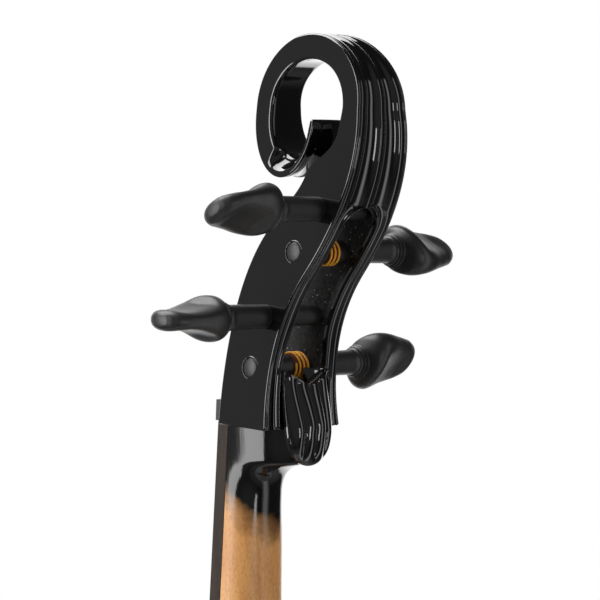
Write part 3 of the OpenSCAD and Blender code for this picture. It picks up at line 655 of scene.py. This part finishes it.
WEB_STEPS = 6
INSIDE = [0.0, 0.12, 0.24, 0.36, 0.5, 0.64, 0.76, 0.88, 1.0]
FACE_STEPS = [0.0, 0.12, 0.25, 0.4, 0.55, 0.7, 0.82, 0.92, 1.0]
CORNER = 0.3  # distance from an edge to the next points, to keep it crisp
FRONT_R, CURL_R = 0.7, 1.2  # rounding of the front edge, and what the curl adds to it
SCOOP, SCOOP_RUN, RIM = 5.0, 7.0, 3.6  # the curl's scoop: depth, length of its run-in, rim left round it
HOLLOW_FULL = 11.0  # half width of the opening from which its edge is fully rounded
CALM_PAIR, CALM_RUN, CALM = 9.4, 1.2, 0.9  # where the curl's flutes die away, and by how much


def head_ring(key, f, b, b_out, past_step):
    """One closed half ring of points of the head, and where in it the bare inside begins."""
    across = b - f
    length = np.linalg.norm(across)
    d = across / length
    z_b = b[1]
    pegbox = key < PEGBOX_PAIR
    hollow_back = float(opening_half(z_b)) if pegbox else 0.0
    room = float(cavity_half(f)) if pegbox else 0.0
    w_f, w_b = float(cheek(f)), float(cheek(b))
    chamfer = min(FRONT_R + CURL_R * smooth((key - PEGBOX_PAIR - 0.2) / 0.8), 0.3 * length)
    ring = []

    def put(p, x):
        ring.append((x, p[0], p[1]))

    # Front or inner surface, from the middle or the hollow to the near face, sunk by the curl's scoop
    for t in np.linspace(0, 1, 6):
        put(f, room + (w_f - chamfer - room) * t)
    for a in (30, 60):
        put(f + d * chamfer * (1 - cos(radians(a))),
            w_f - chamfer * (1 - sin(radians(a))))
    q_rim = max(0.0, 1 - RIM / length)
    sunk = SCOOP * sqrt(1 - (1 - min(past_step / SCOOP_RUN, 1.0)) ** 2) if past_step > 0 else 0.0
    if sunk and q_rim:
        ring[:] = [(max(0.0, x - sunk * min(1.0, i / 5)), y, z) for i, (x, y, z) in enumerate(ring)]
    # Near face, with the scoop
    first, last = chamfer / length, 1 - EDGE_R / length
    shares = [first + (last - first) * t for t in FACE_STEPS]
    shares[1:1] = [first + CORNER / length]
    shares[-1:-1] = [last - CORNER / length]
    for q in shares:
        p = f + across * q
        put(p, float(cheek(p)) - (sunk * (1 - (q / q_rim) ** 2) if q < q_rim else 0.0))
    for a in (30, 60):
        c, s = cos(radians(a)), sin(radians(a))
        put(b - d * EDGE_R * (1 - s), w_b - EDGE_R * (1 - c))
    # Back, across the flutes
    above_v = z_b > V_END
    virtual = hollow_back if above_v else max(hollow_back, V_HALF - 0.2)
    hollow = smooth(hollow_back / HOLLOW_FULL) * above_v
    for e, depth in flute_profile(w_b - virtual, hollow, 1 - CALM * smooth((key - CALM_PAIR) / CALM_RUN)):
        put(b - b_out * depth, w_b - e)
    low = smooth((V_END + 2 - z_b) / 2)
    for k in range(1, WEB_STEPS + 1):
        put(b - b_out * (low + LIP_DROP * hollow * (1 - low)),
            virtual + (hollow_back - virtual) * k / WEB_STEPS)
    # Wall of the hollow, back to the front
    lip = LIP if pegbox else 0.2 * length
    put(b - d * lip, hollow_back)
    bare_from = len(ring)
    for t in INSIDE:
        p = b - d * (LIP + CORNER + (length - 2 * LIP - 2 * CORNER) * t)
        put(p, float(cavity_half(p)) if pegbox else 0.0)
    put(f + d * lip, room)
    return ring, bare_from


FOOT_MIDDLE, FOOT_SHARE = (22, 0), 0.965  # the head's lower end is rounded in towards this point


def head():
    keys, s_f, s_b = head_stations()
    f, b, t_b = FRONT.at(s_f), BACK.at(s_b), BACK.heading(s_b)
    b_out = np.column_stack([t_b[:, 1], -t_b[:, 0]])
    step_at = np.interp(STEP_PAIR, keys, s_b)
    rings = []
    for i, key in enumerate(keys):
        ring, bare_from = head_ring(key, f[i], b[i], b_out[i], s_b[i] - step_at)
        rings.append(np.array(ring))
    # Soft bottom edge
    low = rings[0].copy()
    low[:, 1:] = FOOT_MIDDLE + (low[:, 1:] - FOOT_MIDDLE) * FOOT_SHARE
    low[:, 0] = np.maximum(0, low[:, 0] - 0.7 * (low[:, 0] > 5))
    low[:, 2] = -0.6
    # Rounded lip at the curl's tip
    tip = rings[-1]
    centre = (f[-1] + b[-1]) / 2
    half = np.linalg.norm(b[-1] - f[-1]) / 2
    for a in np.radians((25, 50, 70, 85)):
        r = tip.copy()
        r[:, 1:] = centre + (tip[:, 1:] - centre) * cos(a) + t_b[-1] * half * sin(a)
        r[:, 0] = np.maximum(0, tip[:, 0] - (1 - cos(a)) * 1.2 * (tip[:, 0] > 3))
        rings.append(r)
    verts, faces = loft([low] + rings)
    k = len(low)
    # The half is open along the middle, where it meets its mirror image
    sides, ends = [q for q in faces[:-2] if any(verts[v][0] >= 1e-6 for v in q)], faces[-2:]
    marks = [int(q[0] % k >= bare_from - 1) for q in sides] + [0, 0]
    add_piece("pegbox_and_volute", "root", [LACQUER, DUSTY], (verts, sides + ends),
              replaces=("neck_and_scroll",), marks=marks, mirror=True, sharp=72)


head()

# ---- Chin: the lobed shell under the opening ----
CHIN_TOP, CHIN_LOW = 30, -20
CHIN_ROWS, CHIN_STEPS = 60, 26
SHELL_FRONT = 31.2  # the shell stays behind this, clear of the lowest winding
MIDDLE_TOP, MIDDLE_LOW = 22, -2.0  # ends of the shell's middle line
CREST = [(-2, 50.9), (3, 51.0), (10, 48.8), (22, 43.4)]  # (z, y) along the middle line
CHIN_EDGE = [(CHIN_LOW, 44.0), (0, 42.8), (5, 42.3), (CHIN_TOP, 39.6)]  # (z, y) along the edge
LOBE_WIDE, LOBE_DEEP = 7.6, 1.9  # a lobe's width at full width of the shell, and the grooves' depth
# Rounded edge: distance in from the edge, and back from it
CHIN_RIM = [(0.0, -0.5), (0.0, -1.0), (0.5, -1.25), (0.9, -1.45), (0.9, -2.2), (1.4, -2.6), (3.0, -3.4),
            (6.5, -5.5), (9.0, -12.0)]
CHIN_WALL = [(-9.0, -3.0), (-5.2, 0.0), (-4.9, 0.3), (-0.5, 0.3)]  # (y, z) from the upper edge in


def chin():
    right = Line([(16.6, CHIN_TOP)], bezier([(16.6, CHIN_TOP), (16.9, 20), (17.2, 8), (16.0, -3)], 200),
                 bezier([(16.0, -3), (14.8, -13), (8.5, CHIN_LOW), (0, CHIN_LOW)], 200))
    s = np.linspace(0, right.s[-1], CHIN_ROWS)
    edge, heading = right.at(s), right.heading(s)
    middle = MIDDLE_TOP + (MIDDLE_LOW - MIDDLE_TOP) * smooth(s / right.s[-1] * 1.25)
    crest = flowing(middle, *np.transpose(CREST))
    edge_y = flowing(edge[:, 1], *np.transpose(CHIN_EDGE))
    rings = []
    for i, (out, up) in enumerate(edge):
        ring = []
        for r in np.sin(np.radians(np.linspace(0, 90, CHIN_STEPS))):
            x = out * r
            z = middle[i] + (up - middle[i]) * r
            y = edge_y[i] + (crest[i] - edge_y[i]) * sqrt(max(0, 1 - r * r)) ** 0.9
            spread = max(6.0, out) if up > -2 else V_HALF
            lobe = abs(sin(pi * x / (LOBE_WIDE * spread / V_HALF)))
            strength = smooth((z + 19.0) / 9.0) * smooth((1 - r) / 0.06) * smooth(s[i] / 3.5)
            ring.append((x, y - LOBE_DEEP * (1 - lobe ** 0.8) * strength, z))
        for inset, back in CHIN_RIM:
            x = max(0.0, out + heading[i][1] * inset * (min(1.0, out / 9.0) if inset > 3 else 1))
            ring.append((x, edge_y[i] + back, min(up - heading[i][0] * inset, CHIN_TOP)))
        rings.append(ring)
    rings = np.array(rings)
    rings[-1, :, 0] = 0
    # Wall round the V, from the shell's outer edge in to the hollow
    wall = [rings[0] + (0, back, up) for back, up in CHIN_WALL]
    rings = np.concatenate([wall, rings])
    rings[..., 1] = np.maximum(rings[..., 1], SHELL_FRONT)
    shape = rings, grid_faces(*rings.shape[:2])
    add_piece("chin_shell", "root", LACQUER, shape, mirror=True, sharp=45)


chin()

# ---- Neck: D section, from the fillet under the head down to the heel ----
NECK_LEN = 280
BOARD_LEN = 580
NECK_HALF, BOARD_END_HALF = 16.0, 31.0
# Depth of the neck behind the glue plane: (z, depth)
NECK_DEPTH = [(-300, 22.5), (-60, 18.6), (-40, 18.1), (-34, 18.6), (-30, 20.2), (-27, 22.6), (-24.5, 26),
              (-22.5, 30), (-21, 34.5), (-19.5, 39), (-17, 41), (0, 38.6), (13.5, 38.0)]
NECK_TOP, HEAD_RUN = -26, 12  # from here up, over this length, the section turns into the head's


def board_half(z):
    return NECK_HALF - (BOARD_END_HALF - NECK_HALF) * z / BOARD_LEN


def neck():
    a = np.radians(np.linspace(0, 180, 49))
    rings = []
    for z in np.r_[np.linspace(NECK_DEPTH[-1][0], -30, 60), np.linspace(-31, NECK_DEPTH[0][0], 110)]:
        full = smooth((z - NECK_TOP) / HEAD_RUN)
        x, y = oval(a, board_half(min(z, 0)) - 0.15, flowing(z, *np.transpose(NECK_DEPTH)), 2.25 + 0.3 * full)
        taper = 1 - 0.25 * full * smooth((y - 24) / 18)
        rings.append(level(x * taper, np.maximum(y, 0), z))
    add_piece("neck_shaft", "root", NECK_WOOD, loft(rings), sharp=50)


neck()

# ---- Pegs and windings ----
PEG_SIDE = (-1, -1, 1, 1)
PEG_REACH = 30
PEG_ROLL = (40, 116, 120, 90)
SHAFT_END, SHAFT_COLLAR = 5.5, 6.8
# Thumb piece: distance past the collar, half width, half thickness
THUMB = [(3, 6.5, 6.5), (5, 7.4, 7.4), (6, 9.6, 9.2), (7.5, 13.2, 11.2), (10, 16.2, 11.9), (13, 17.6, 11.7),
         (17, 18, 10.6), (21, 17.6, 9), (26, 16.4, 7.3), (32, 14.8, 6.3), (38, 12.4, 5.9), (42, 8.9, 4.8),
         (43.6, 5.8, 3.4), (44.3, 3, 1.9), (44.5, 0.5, 0.4)]
# Three fine rings turned on the collar: rise over the shaft, distance past the collar's start
COLLAR = [(0.1, -1.2), (0.7, -0.9), (1.1, -0.3), (0.8, 0.4), (0.6, 0.6), (1.4, 0.9), (1.9, 1.5), (1.6, 2.2),
          (1.4, 2.4), (2.2, 2.6), (2.6, 3.2), (2.2, 3.9), (1.2, 4.3), (0.9, 5), (-SHAFT_COLLAR, 5.4)]
# Rounded free end of the shaft: radius over the end's, distance past the cheek
SHAFT_TIP = [(-SHAFT_END, -0.9), (2.5 - SHAFT_END, -0.75), (4.2 - SHAFT_END, -0.4), (-0.35, -0.05),
             (-0.05, 0.4)]
BUSH_R = 0.4  # section of the ring of lacquer round that end
WINDING_R = (7.6, 7.5, 7.3, 7.2)
WINDING_X = (-8.4, -3.5, 7.5, 10.5)
WIND_TURNS = (4, 3, 3, 2)
WIND_PITCH, WIRE_R = 2.9, 0.62
HELIX_TRIM = 0.2  # part of a turn left off at each end, clear of the cheeks
UNDERLAY_RISE = 0.25  # radius of the dark layer under the coil, over the shaft's
HELIX_STEPS = 40


def peg_places():
    """Each peg's (y, z) in the neck frame, from its joint."""
    to_neck = NECK.inverted()
    for c in STRINGS:
        p = to_neck @ Vector(joint(f"peg_{c}_turn")["pos_m"])
        yield p.y, p.z


def thumb(end):
    """The thumb piece of a peg whose collar starts at end."""
    ts, halves, thicks = np.array(THUMB).T
    rings = []
    for t in np.unique(np.r_[np.linspace(ts[0], 8, 12), np.linspace(8, 40, 34), np.linspace(40, ts[-1], 18)]):
        half = flowing(t, ts, halves)
        x, y = oval(around(72), half, flowing(t, ts, thicks), 2 + 0.25 * smooth((t - 8) / 12))
        # The broad faces are a little hollow across the middle
        dish = 1 - 0.3 * smooth((t - 12) / 6) * smooth((42 - t) / 9) * (1 - (x / half) ** 2) ** 1.5
        rings.append(level(x, y * dish, end + t))
    return loft(rings)


def peg(i, y, z):
    side, name = PEG_SIDE[i], "peg_" + STRINGS[i]
    w = float(cheek(np.array([y, z])))
    place = NECK @ Matrix.Translation((0, y, z)) @ Matrix.Rotation(radians(90 * side), 4, "Y")
    end = w + PEG_REACH
    slope = (SHAFT_COLLAR - SHAFT_END) / (2 * w + PEG_REACH)

    def shaft_r(x):
        return SHAFT_END + slope * (x + w)

    profile = [(SHAFT_END + r, h - w) for r, h in SHAFT_TIP]
    profile += [(shaft_r(x), x) for x in np.linspace(-w + 0.8, end - 1.4, 24)]
    profile += [(SHAFT_COLLAR + r, end + h) for r, h in COLLAR]
    add_piece(name + "_shaft", name, SATIN, lathe(profile), place, sharp=60)
    turned = place @ Matrix.Rotation(radians(PEG_ROLL[i]), 4, "Z")
    add_piece(name + "_thumb", name, SATIN, thumb(end), turned, (name,), sharp=60)
    # A fine ring of lacquer round the shaft's free end
    ring = [(SHAFT_END + 0.02 + BUSH_R * (1 + cos(t)), 0.05 - w + BUSH_R * sin(t))
            for t in around(14)]
    verts = [(r * cos(q), r * sin(q), h) for q in around(64) for r, h in ring]
    shape = verts, grid_faces(64, 14, close_rows=True, close_columns=True)
    add_piece(name + "_bush_ring", "root", LACQUER, shape, place)
    # Silk-wrapped string end: a dark layer, and one helix round the shaft
    turns, middle = WIND_TURNS[i], side * WINDING_X[i]
    winding = "winding_" + STRINGS[i]
    reach = turns / 2 * WIND_PITCH
    low, high = middle - reach, middle + reach
    core = shaft_r(high) + UNDERLAY_RISE
    shape = lathe([(0, low), (core, low), (core, high), (0, high)], 48)
    add_piece(winding + "_underlay", name, UNDERLAY, shape, place)
    q = np.linspace(HELIX_TRIM, turns - HELIX_TRIM, turns * HELIX_STEPS + 1)
    r = WINDING_R[i] - WIRE_R - 0.02
    a = 2 * pi * q
    helix = np.column_stack([r * np.cos(a), r * np.sin(a), middle + (q - turns / 2) * WIND_PITCH])
    shape = tube(helix, WIRE_R, 14)
    add_piece(winding + "_coil", name, SILK, shape, place, (winding,), weld=0)


for index, (peg_y, peg_z) in enumerate(peg_places()):
    peg(index, peg_y, peg_z)


# ---- Strings and tail cord ----
def string_line(c):
    """The bends of a string: the middles of its solid's rings, from the head down."""
    co = np.array([v.co for v in frame["nodes"]["string_" + c].data.vertices]) / MM
    co = co[np.argsort(-co[:, 2])]
    groups = np.split(co, np.nonzero(np.diff(co[:, 2]) < -3)[0] + 1)
    return [(g.min(0) + g.max(0)) / 2 for g in groups]


for c, radius in zip(STRINGS, (0.75, 0.65, 0.5, 0.4)):
    add_piece("string_" + c + "_wound", "root", WOUND,
              tube(string_line(c), radius * 0.97), BODY, ("string_" + c,), weld=0, sharp=60)


def rounded_line(points, radius, n=8):
    """The points with each corner replaced by a curve that starts radius before it."""
    p = [np.array(q, float) for q in points]
    out = [p[0]]
    for a, b, c in zip(p, p[1:], p[2:]):
        r = min(radius, 0.45 * np.linalg.norm(b - a), 0.45 * np.linalg.norm(c - b))
        start = b + (a - b) / np.linalg.norm(a - b) * r
        end = b + (c - b) / np.linalg.norm(c - b) * r
        for t in np.linspace(0, 1, n):
            out.append((1 - t) ** 2 * start + 2 * t * (1 - t) * b + t * t * end)
    return out + [p[-1]]


CORD_HALF, CORD_R, TAIL_LEN = 9, 1.6, 222
to_body = BODY.inverted() @ TAIL
saddle_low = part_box("saddle")[0]
collar_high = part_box("endpin_collar")[1]
GROOVE_UNDER = 5  # the cord's groove is this far under the core


def tail_cord():
    groove_r = collar_high.x / MM + 0.3
    z = saddle_low.z / MM - GROOVE_UNDER
    for s, side in ((-1, "bass"), (1, "treble")):
        line = [to_body @ Vector((s * CORD_HALF, 4.5, -TAIL_LEN + h)) for h in (20, -4)]
        line += [(s * CORD_HALF, saddle_low.y / MM, saddle_low.z / MM)]
        line += [(s * groove_r * cos(a), groove_r * sin(a), z)
                 for a in np.radians(range(0, 91, 9))]
        add_piece(f"tail_cord_{side}", "root", CORD,
                  tube(rounded_line(line, 2.5), CORD_R * 0.98, 14), BODY,
                  ("tail_cord",) if s > 0 else (), weld=0, sharp=60)


tail_cord()

# ---- Core, heel and side frames ----
core_low, core_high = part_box("body_core")
CORE_BOTTOM, CORE_TOP = core_low.z / MM, core_high.z / MM
FRONT_Y, BACK_Y = core_low.y / MM, core_high.y / MM
MID_Y = (FRONT_Y + BACK_Y) / 2
CORE_LEN = CORE_TOP - CORE_BOTTOM
CORE_CORNER, CORE_EDGE = 26, 7.5
HEEL_HALF, MORTISE_DEEP = 21, 70
PLUG_Z = (CORE_BOTTOM + 80, CORE_TOP - 60)


def core_x(z):
    t = (z - CORE_BOTTOM) / CORE_LEN
    return 60 + 13 * cos(radians(360 * t - 50)) + 11 * cos(radians(180 * t))


def core_outline(steps=110):
    """The core's outline in (x, z), right half from the middle of the lower edge to that of the upper."""
    half_low, half_top = core_x(CORE_BOTTOM), core_x(CORE_TOP)
    c = CORE_CORNER
    low = arc(half_low - c, CORE_BOTTOM + c, c, c, -90, 0, 14)[:-1]
    top = arc(half_top - c, CORE_TOP - c, c, c, 0, 90, 14)[1:]
    z = np.linspace(CORE_BOTTOM + c, CORE_TOP - c, steps)
    share = smooth((z - CORE_BOTTOM - c) / 60) * smooth((CORE_TOP - c - z) / 60)
    ends = np.where(z < (CORE_BOTTOM + CORE_TOP) / 2, half_low, half_top)
    flank = np.array([core_x(v) for v in z]) * share + ends * (1 - share)
    return np.vstack([[(0, CORE_BOTTOM)], low, np.column_stack([flank, z]), top, [(0, CORE_TOP)]])


def inset_outline(outline, d):
    v = np.gradient(outline, axis=0)
    v /= np.linalg.norm(v, axis=1)[:, None]
    n = np.column_stack([v[:, 1], -v[:, 0]])
    n[0], n[-1] = (0, -1), (0, 1)
    out = outline - n * d
    out[:, 0] = np.maximum(out[:, 0], 0)
    return out


def cut(piece, parts):
    """Takes several overlapping solids out of a piece."""
    for verts, faces in parts:
        mesh = bpy.data.meshes.new("cutter")
        mesh.from_pydata([BODY @ Vector(v) for v in verts], [], faces)
        with edited(mesh):
            pass
        tool = link("cutter", mesh)
        step = piece.modifiers.new("cut", "BOOLEAN")
        step.operation, step.solver, step.object = "DIFFERENCE", "EXACT", tool
        bpy.context.view_layer.update()
        result = bpy.data.meshes.new_from_object(piece.evaluated_get(bpy.context.evaluated_depsgraph_get()))
        piece.modifiers.clear()
        old, piece.data = piece.data, result
        bpy.data.objects.remove(tool)
        for spent in (old, mesh):
            bpy.data.meshes.remove(spent)
    piece.data.set_sharp_from_angle(angle=radians(32))


def pin(radius, x, y, z, axis, length):
    """A cylinder from a point along +x, +y or +z, or back along it if length is negative."""
    k = "xyz".index(axis)
    rings = np.tile((x, y, z), (2, 48, 1)).astype(float)
    first, second = (n for n in range(3) if n != k)
    rings[..., first] += radius * np.cos(around(48))
    rings[..., second] += radius * np.sin(around(48))
    rings[1, :, k] += length
    return loft(rings)


def grown(node, front=0.0, back=0.0, gap=0.0):
    """The block round a node, in millimetres, grown by a gap and drawn out to the front or back."""
    low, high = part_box(node)
    return block((low.x / MM - gap, low.y / MM - front, low.z / MM - gap),
                 (high.x / MM + gap, high.y / MM + back, high.z / MM + gap))


OUT = 9  # how far a cutter stands out of the core
CUT_GAP, PIN_GAP = 0.15, 0.05  # room round the heel, and round a plug or screw
PLUG_R, PLUG_DEEP, LOCK_R, LOCK_IN = 5, 30, 3, 14


def body_core():
    right = core_outline()
    rings = []
    for a in np.radians((90, 72, 54, 36, 18, 0)):
        half = inset_outline(right, CORE_EDGE * (1 - cos(a)))
        x, z = np.vstack([half, half[::-1][1:-1] * [-1, 1]]).T
        rings.append(np.column_stack([x, np.full_like(x, FRONT_Y + CORE_EDGE * (1 - sin(a))), z]))
    rings += [ring * (1, -1, 1) + (0, FRONT_Y + BACK_Y, 0) for ring in rings[::-1]]
    piece = add_piece("core_shell", "root", [LACQUER, DUSTY], loft(rings), BODY,
                      ("body_core",))
    pots = [joint(n + "_knob_turn")["pos_m"] for n in ("volume", "tone")]
    heel_half, below = HEEL_HALF + CUT_GAP, CORE_BOTTOM - OUT
    parts = [block((-heel_half, FRONT_Y - OUT, CORE_TOP - MORTISE_DEEP - CUT_GAP),
                   (heel_half, BACK_Y + OUT, CORE_TOP + OUT)),
             grown("back_cover", back=OUT, gap=0.3), grown("saddle", front=OUT),
             grown("pickup_bar", front=OUT), grown("battery_box", back=OUT),
             block((-46, BACK_Y - 22, 215), (46, BACK_Y + OUT, 365)),     # room for the circuit board
             pin(12, 0, 0, below, "z", 49), pin(6, 0, 0, below, "z", 449)]  # endpin
    parts += [pin(4, p[0] / MM, FRONT_Y - OUT, p[2] / MM, "y", 40) for p in pots]
    parts += [pin(PLUG_R + PIN_GAP, s * (core_x(z) - PLUG_DEEP), MID_Y, z, "x", s * 60)
              for s in (-1, 1) for z in PLUG_Z]
    parts += [pin(LOCK_R + PIN_GAP, s * (core_x(PLUG_Z[1]) - LOCK_IN), MID_Y, PLUG_Z[1], "y", 60)
              for s in (-1, 1)]
    parts += [pin(7, -38, MID_Y, below, "z", 41), pin(4.5, 38, MID_Y, below, "z", 27)]  # jacks
    cut(piece, parts)


body_core()


def plan_depth(z):
    """How far back of the glue plane the core's back face lies, at a height in the neck frame."""
    lean = atan2(neck_up.y, neck_up.z)
    return (BACK_Y - neck_origin.y / MM - z * sin(lean)) / cos(lean) - 0.4


HEEL_RUN, HEEL_START = 46, 21.6  # length of the sweep out from the neck, and the depth it starts at


def heel():
    """Foot of the neck: fills the mortise and sweeps out to the shaft."""
    a = np.radians(np.linspace(0, 180, 61))
    start = NECK_LEN - HEEL_RUN
    rings = []
    for z in np.linspace(-start, -NECK_LEN - MORTISE_DEEP, 70):
        t = (-z - start) / HEEL_RUN
        deep = HEEL_START + (plan_depth(z) - HEEL_START) * min(1.0, max(0.0, t)) ** 3.2
        half = board_half(z) - 0.2
        half += (HEEL_HALF - half) * smooth((t - 0.5) * 2)
        x, y = oval(a, half, deep, 2.3 + 12 * smooth((t - 0.4) * 1.6))
        rings.append(level(x, y, z))
    add_piece("neck_heel", "root", NECK_WOOD, loft(rings), sharp=50)


heel()

FRAME_THICK, FRAME_DEPTH = 14, 24
UPPER, WAIST, LOWER = 165, 114, 213


def frame_curves():
    """The middle line of a side frame, in (x, z)."""
    bridge_z = sum(v.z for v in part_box("bridge")) / 2 / MM
    k = np.array([(core_x(PLUG_Z[1]) + 4, PLUG_Z[1]), (UPPER, CORE_TOP - 140), (WAIST, bridge_z + 50),
                  (LOWER, CORE_BOTTOM + 160), (core_x(PLUG_Z[0]) + 4, PLUG_Z[0])])
    # How far the curve's handles lie from the ends of each part
    pulls = [((60, 8), (0, 75)), ((0, -75), (0, 65)), ((0, -95), (0, 100)), ((0, -80), (70, -34))]
    return Line(*[bezier([p, p + leave, q + arrive, q], FINE)
                  for p, q, (leave, arrive) in zip(k, k[1:], pulls)])


def rounded_box(w, h, r, n=7):
    corners = ((1, 1, 0), (-1, 1, 90), (-1, -1, 180), (1, -1, 270))
    return np.vstack([arc(sx * (w / 2 - r), sy * (h / 2 - r), r, r, a, a + 90, n) for sx, sy, a in corners])


def side_frames():
    line = frame_curves()
    s = np.linspace(0, line.s[-1], 260)
    section = rounded_box(FRAME_THICK, FRAME_DEPTH, 5)
    for side, sign in (("bass", -1), ("treble", 1)):
        rings = np.array([[(sign * (x - dz * a), MID_Y + b, z + dx * a) for a, b in section]
                          for x, z, dx, dz in np.column_stack([line.at(s), line.heading(s, 0.6)])])
        # Round the two ends over a little
        for end in (0, -1):
            mid = rings[end].mean(0)
            rings[end] = mid + (rings[end] - mid) * 0.94
        add_piece(side + "_bout", side + "_frame", LACQUER, loft(rings), BODY,
                  (side + "_frame",))


side_frames()

# ---- Pieces whose CAD shape is right: slot, look, width of the rounded edges, steps in them, nodes ----
PLAIN = [("ebony", EBONY, 0.5, 2, "fingerboard saddle"), ("ebony", SATIN, 0.5, 2, "nut"),
         ("bridge_maple", MAPLE, 0.7, 2, "bridge"), ("tailpiece_black", TAIL_PLASTIC, 0.6, 2, "tailpiece"),
         ("bright_metal", NICKEL, 0.8, 2, "pickup_bar"),
         *(("bright_metal", NICKEL, edge, 2, f"tuner_{part}_{c}") for c in STRINGS
           for part, edge in (("screw", 0.25), ("lever", 0.35))),
         ("bright_metal", NICKEL, 0.3, 2, "endpin_screw bass_thumbscrew treble_thumbscrew bass_frame_plugs"
          " treble_frame_plugs output_jack headphone_jack cover_screws"),
         ("bright_metal", NICKEL, 0, 2, "endpin_rod"),
         ("black_plastic", PLASTIC, 0.5, 2, "endpin_collar volume_knob tone_knob"),
         ("black_plastic", PLASTIC, 0.4, 2, "battery_door back_cover"),
         ("black_plastic", PLASTIC, 0.3, 2, "battery_box"), ("rubber_black", RUBBER, 0.6, 3, "endpin_foot"),
         ("rubber_black", RUBBER, 1.6, 4, "bass_knee_pad treble_knee_pad"),
         ("rubber_black", RUBBER, 3.5, 5, "chest_pad"), ("pot_metal", STEEL, 0.3, 2, "volume_pot tone_pot"),
         ("circuit_green", CIRCUIT, 0.2, 2, "preamp_board"), ("battery_case", BATTERY, 0.8, 3, "battery")]
for slot, look, width, steps, nodes in PLAIN:
    for node in nodes.split():
        bevelled(node, look, width, steps)

# ---- Floor, light and camera ----
FLOOR_R, FLOOR_SIDES, FLOOR_Z = 0.6, 96, -0.0005


def floor():
    mesh = bpy.data.meshes.new("floor")
    mesh.from_pydata([(FLOOR_R * cos(t), FLOOR_R * sin(t), FLOOR_Z) for t in around(FLOOR_SIDES)],
                     [], [tuple(range(FLOOR_SIDES))])
    look = Look("pale_floor", (0.8, 0.8, 0.8), 0.6)
    look.color(look.mix(look.noise(3, 2), (0.78, 0.78, 0.78), (0.82, 0.82, 0.82)))
    mesh.materials.append(look.material)
    link("floor", mesh)


floor()

# What polished black mirrors: direction of the middle of a lit area, its level, and the cosines of the
# angles from that direction at which the area ends and is full
REFLECTED = [((-0.72, -0.695, 0.0), 1.6, 0.77, 0.82), ((0.57, -0.82, 0.08), 0.2, 0.6, 0.95),
             ((0.0, 0.0, -1.0), 0.22, 0.55, 0.8), ((0.72, 0.68, 0.15), 0.2, 0.6, 0.95)]
DARK_ROOM = 0.04
# An upright strip light: azimuth as for softbox, level, and the sines of the angles off its middle plane
# at which it ends and is full; STRIP_TOP is the sine of its upper end's elevation
STRIP_AZIMUTH, STRIP_LEVEL, STRIP_END, STRIP_FULL = 203, 1.7, 0.3, 0.03
STRIP_TOP = 0.55


def studio():
    """White all round as seen; in reflections a dark room with the lit areas above."""
    world = bpy.data.worlds.new("studio")
    bpy.context.scene.world = world
    graph = Graph(world)
    direction = graph.node("TexCoord").outputs["Generated"]

    def along(axis):
        return graph.dot(direction, Vector(axis).normalized())

    def ramp(*values):
        return graph.span(*values, interpolation_type="SMOOTHSTEP")

    level = DARK_ROOM
    for middle, full, end, start in REFLECTED:
        level = graph.math("MAXIMUM", ramp(along(middle), end, start, DARK_ROOM, full), level)
    a = radians(STRIP_AZIMUTH)
    off_plane = graph.math("ABSOLUTE", along((cos(a), sin(a), 0)))
    strip = ramp(off_plane, STRIP_FULL, STRIP_END, STRIP_LEVEL, 0)
    ahead = ramp(along((sin(a), -cos(a), 0)), 0.0, 0.1, 0, 1)
    below = ramp(along((0, 0, 1)), STRIP_TOP - 0.06, STRIP_TOP, 1, 0)
    strip = graph.math("MULTIPLY", strip, graph.math("MULTIPLY", ahead, below))
    glow = graph.node("Background", {0: graph.math("MAXIMUM", level, strip)}).outputs[0]
    white = graph.node("Background", {0: (1, 1, 1, 1)}).outputs[0]
    seen = graph.node("LightPath").outputs["Is Camera Ray"]
    graph.node("OutputWorld", {0: graph.node("MixShader", {0: seen, 1: glow, 2: white}).outputs[0]})


studio()
head_middle = NECK @ Vector((0, 45, 100))


def softbox(name, azimuth, elevation, distance, size, power):
    """An area light that faces the head. Azimuth 0 is in front, 90 on the +X side."""
    data = bpy.data.lights.new(name, "AREA")
    data.shape = "RECTANGLE"
    data.size, data.size_y = size
    data.energy = power
    obj = link(name, data)
    a, e = radians(azimuth), radians(elevation)
    away = Vector((sin(a) * cos(e), -cos(a) * cos(e), sin(e)))
    obj.location = head_middle + away * distance
    obj.rotation_mode = "QUATERNION"
    obj.rotation_quaternion = away.to_track_quat("Z", "Y")


softbox("front_top_box", 20, 60, 1.5, (1.2, 1.0), 26)
softbox("left_box", 62, 5, 1.6, (0.72, 1.5), 21)
softbox("back_fill", 160, -14, 2.4, (0.4, 0.8), 6)

# The camera stands in an upright frame in which the neck leans forward by HEAD_LEAN
HEAD_LEAN = 2.4
HEAD_SHIFT = -21.2
CAMERA_AZIMUTH, CAMERA_PITCH = 44.0, -2.1
CAMERA_AWAY = 1562
CAMERA_TARGET = Vector((0, 15.757, 64.603))
LENS, SENSOR = 180, 36


def camera():
    a, p = radians(CAMERA_AZIMUTH), radians(CAMERA_PITCH)
    look = Vector((-cos(a) * cos(p), -sin(a) * cos(p), sin(p)))
    right = Vector((-sin(a), cos(a), 0))
    up = right.cross(look)
    spot = CAMERA_TARGET - look * CAMERA_AWAY
    lean = radians(HEAD_LEAN)
    # From the upright frame to the neck frame
    undo = Matrix(((1, 0, 0), (0, cos(lean), -sin(lean)), (0, sin(lean), cos(lean))))
    spot = undo @ (spot - Vector((0, HEAD_SHIFT, 0)))
    turn = NECK.to_3x3() * (1 / MM) @ undo
    data = bpy.data.cameras.new("camera")
    data.lens, data.sensor_width = LENS, SENSOR
    data.clip_start, data.clip_end = 0.05, 50
    cam = link("camera", data)
    axes = Matrix((turn @ right, turn @ up, -(turn @ look))).transposed()
    cam.matrix_world = Matrix.Translation(NECK @ spot) @ axes.to_4x4()
    bpy.context.scene.camera = cam


camera()
bpy.context.scene.view_settings.view_transform = "Standard"
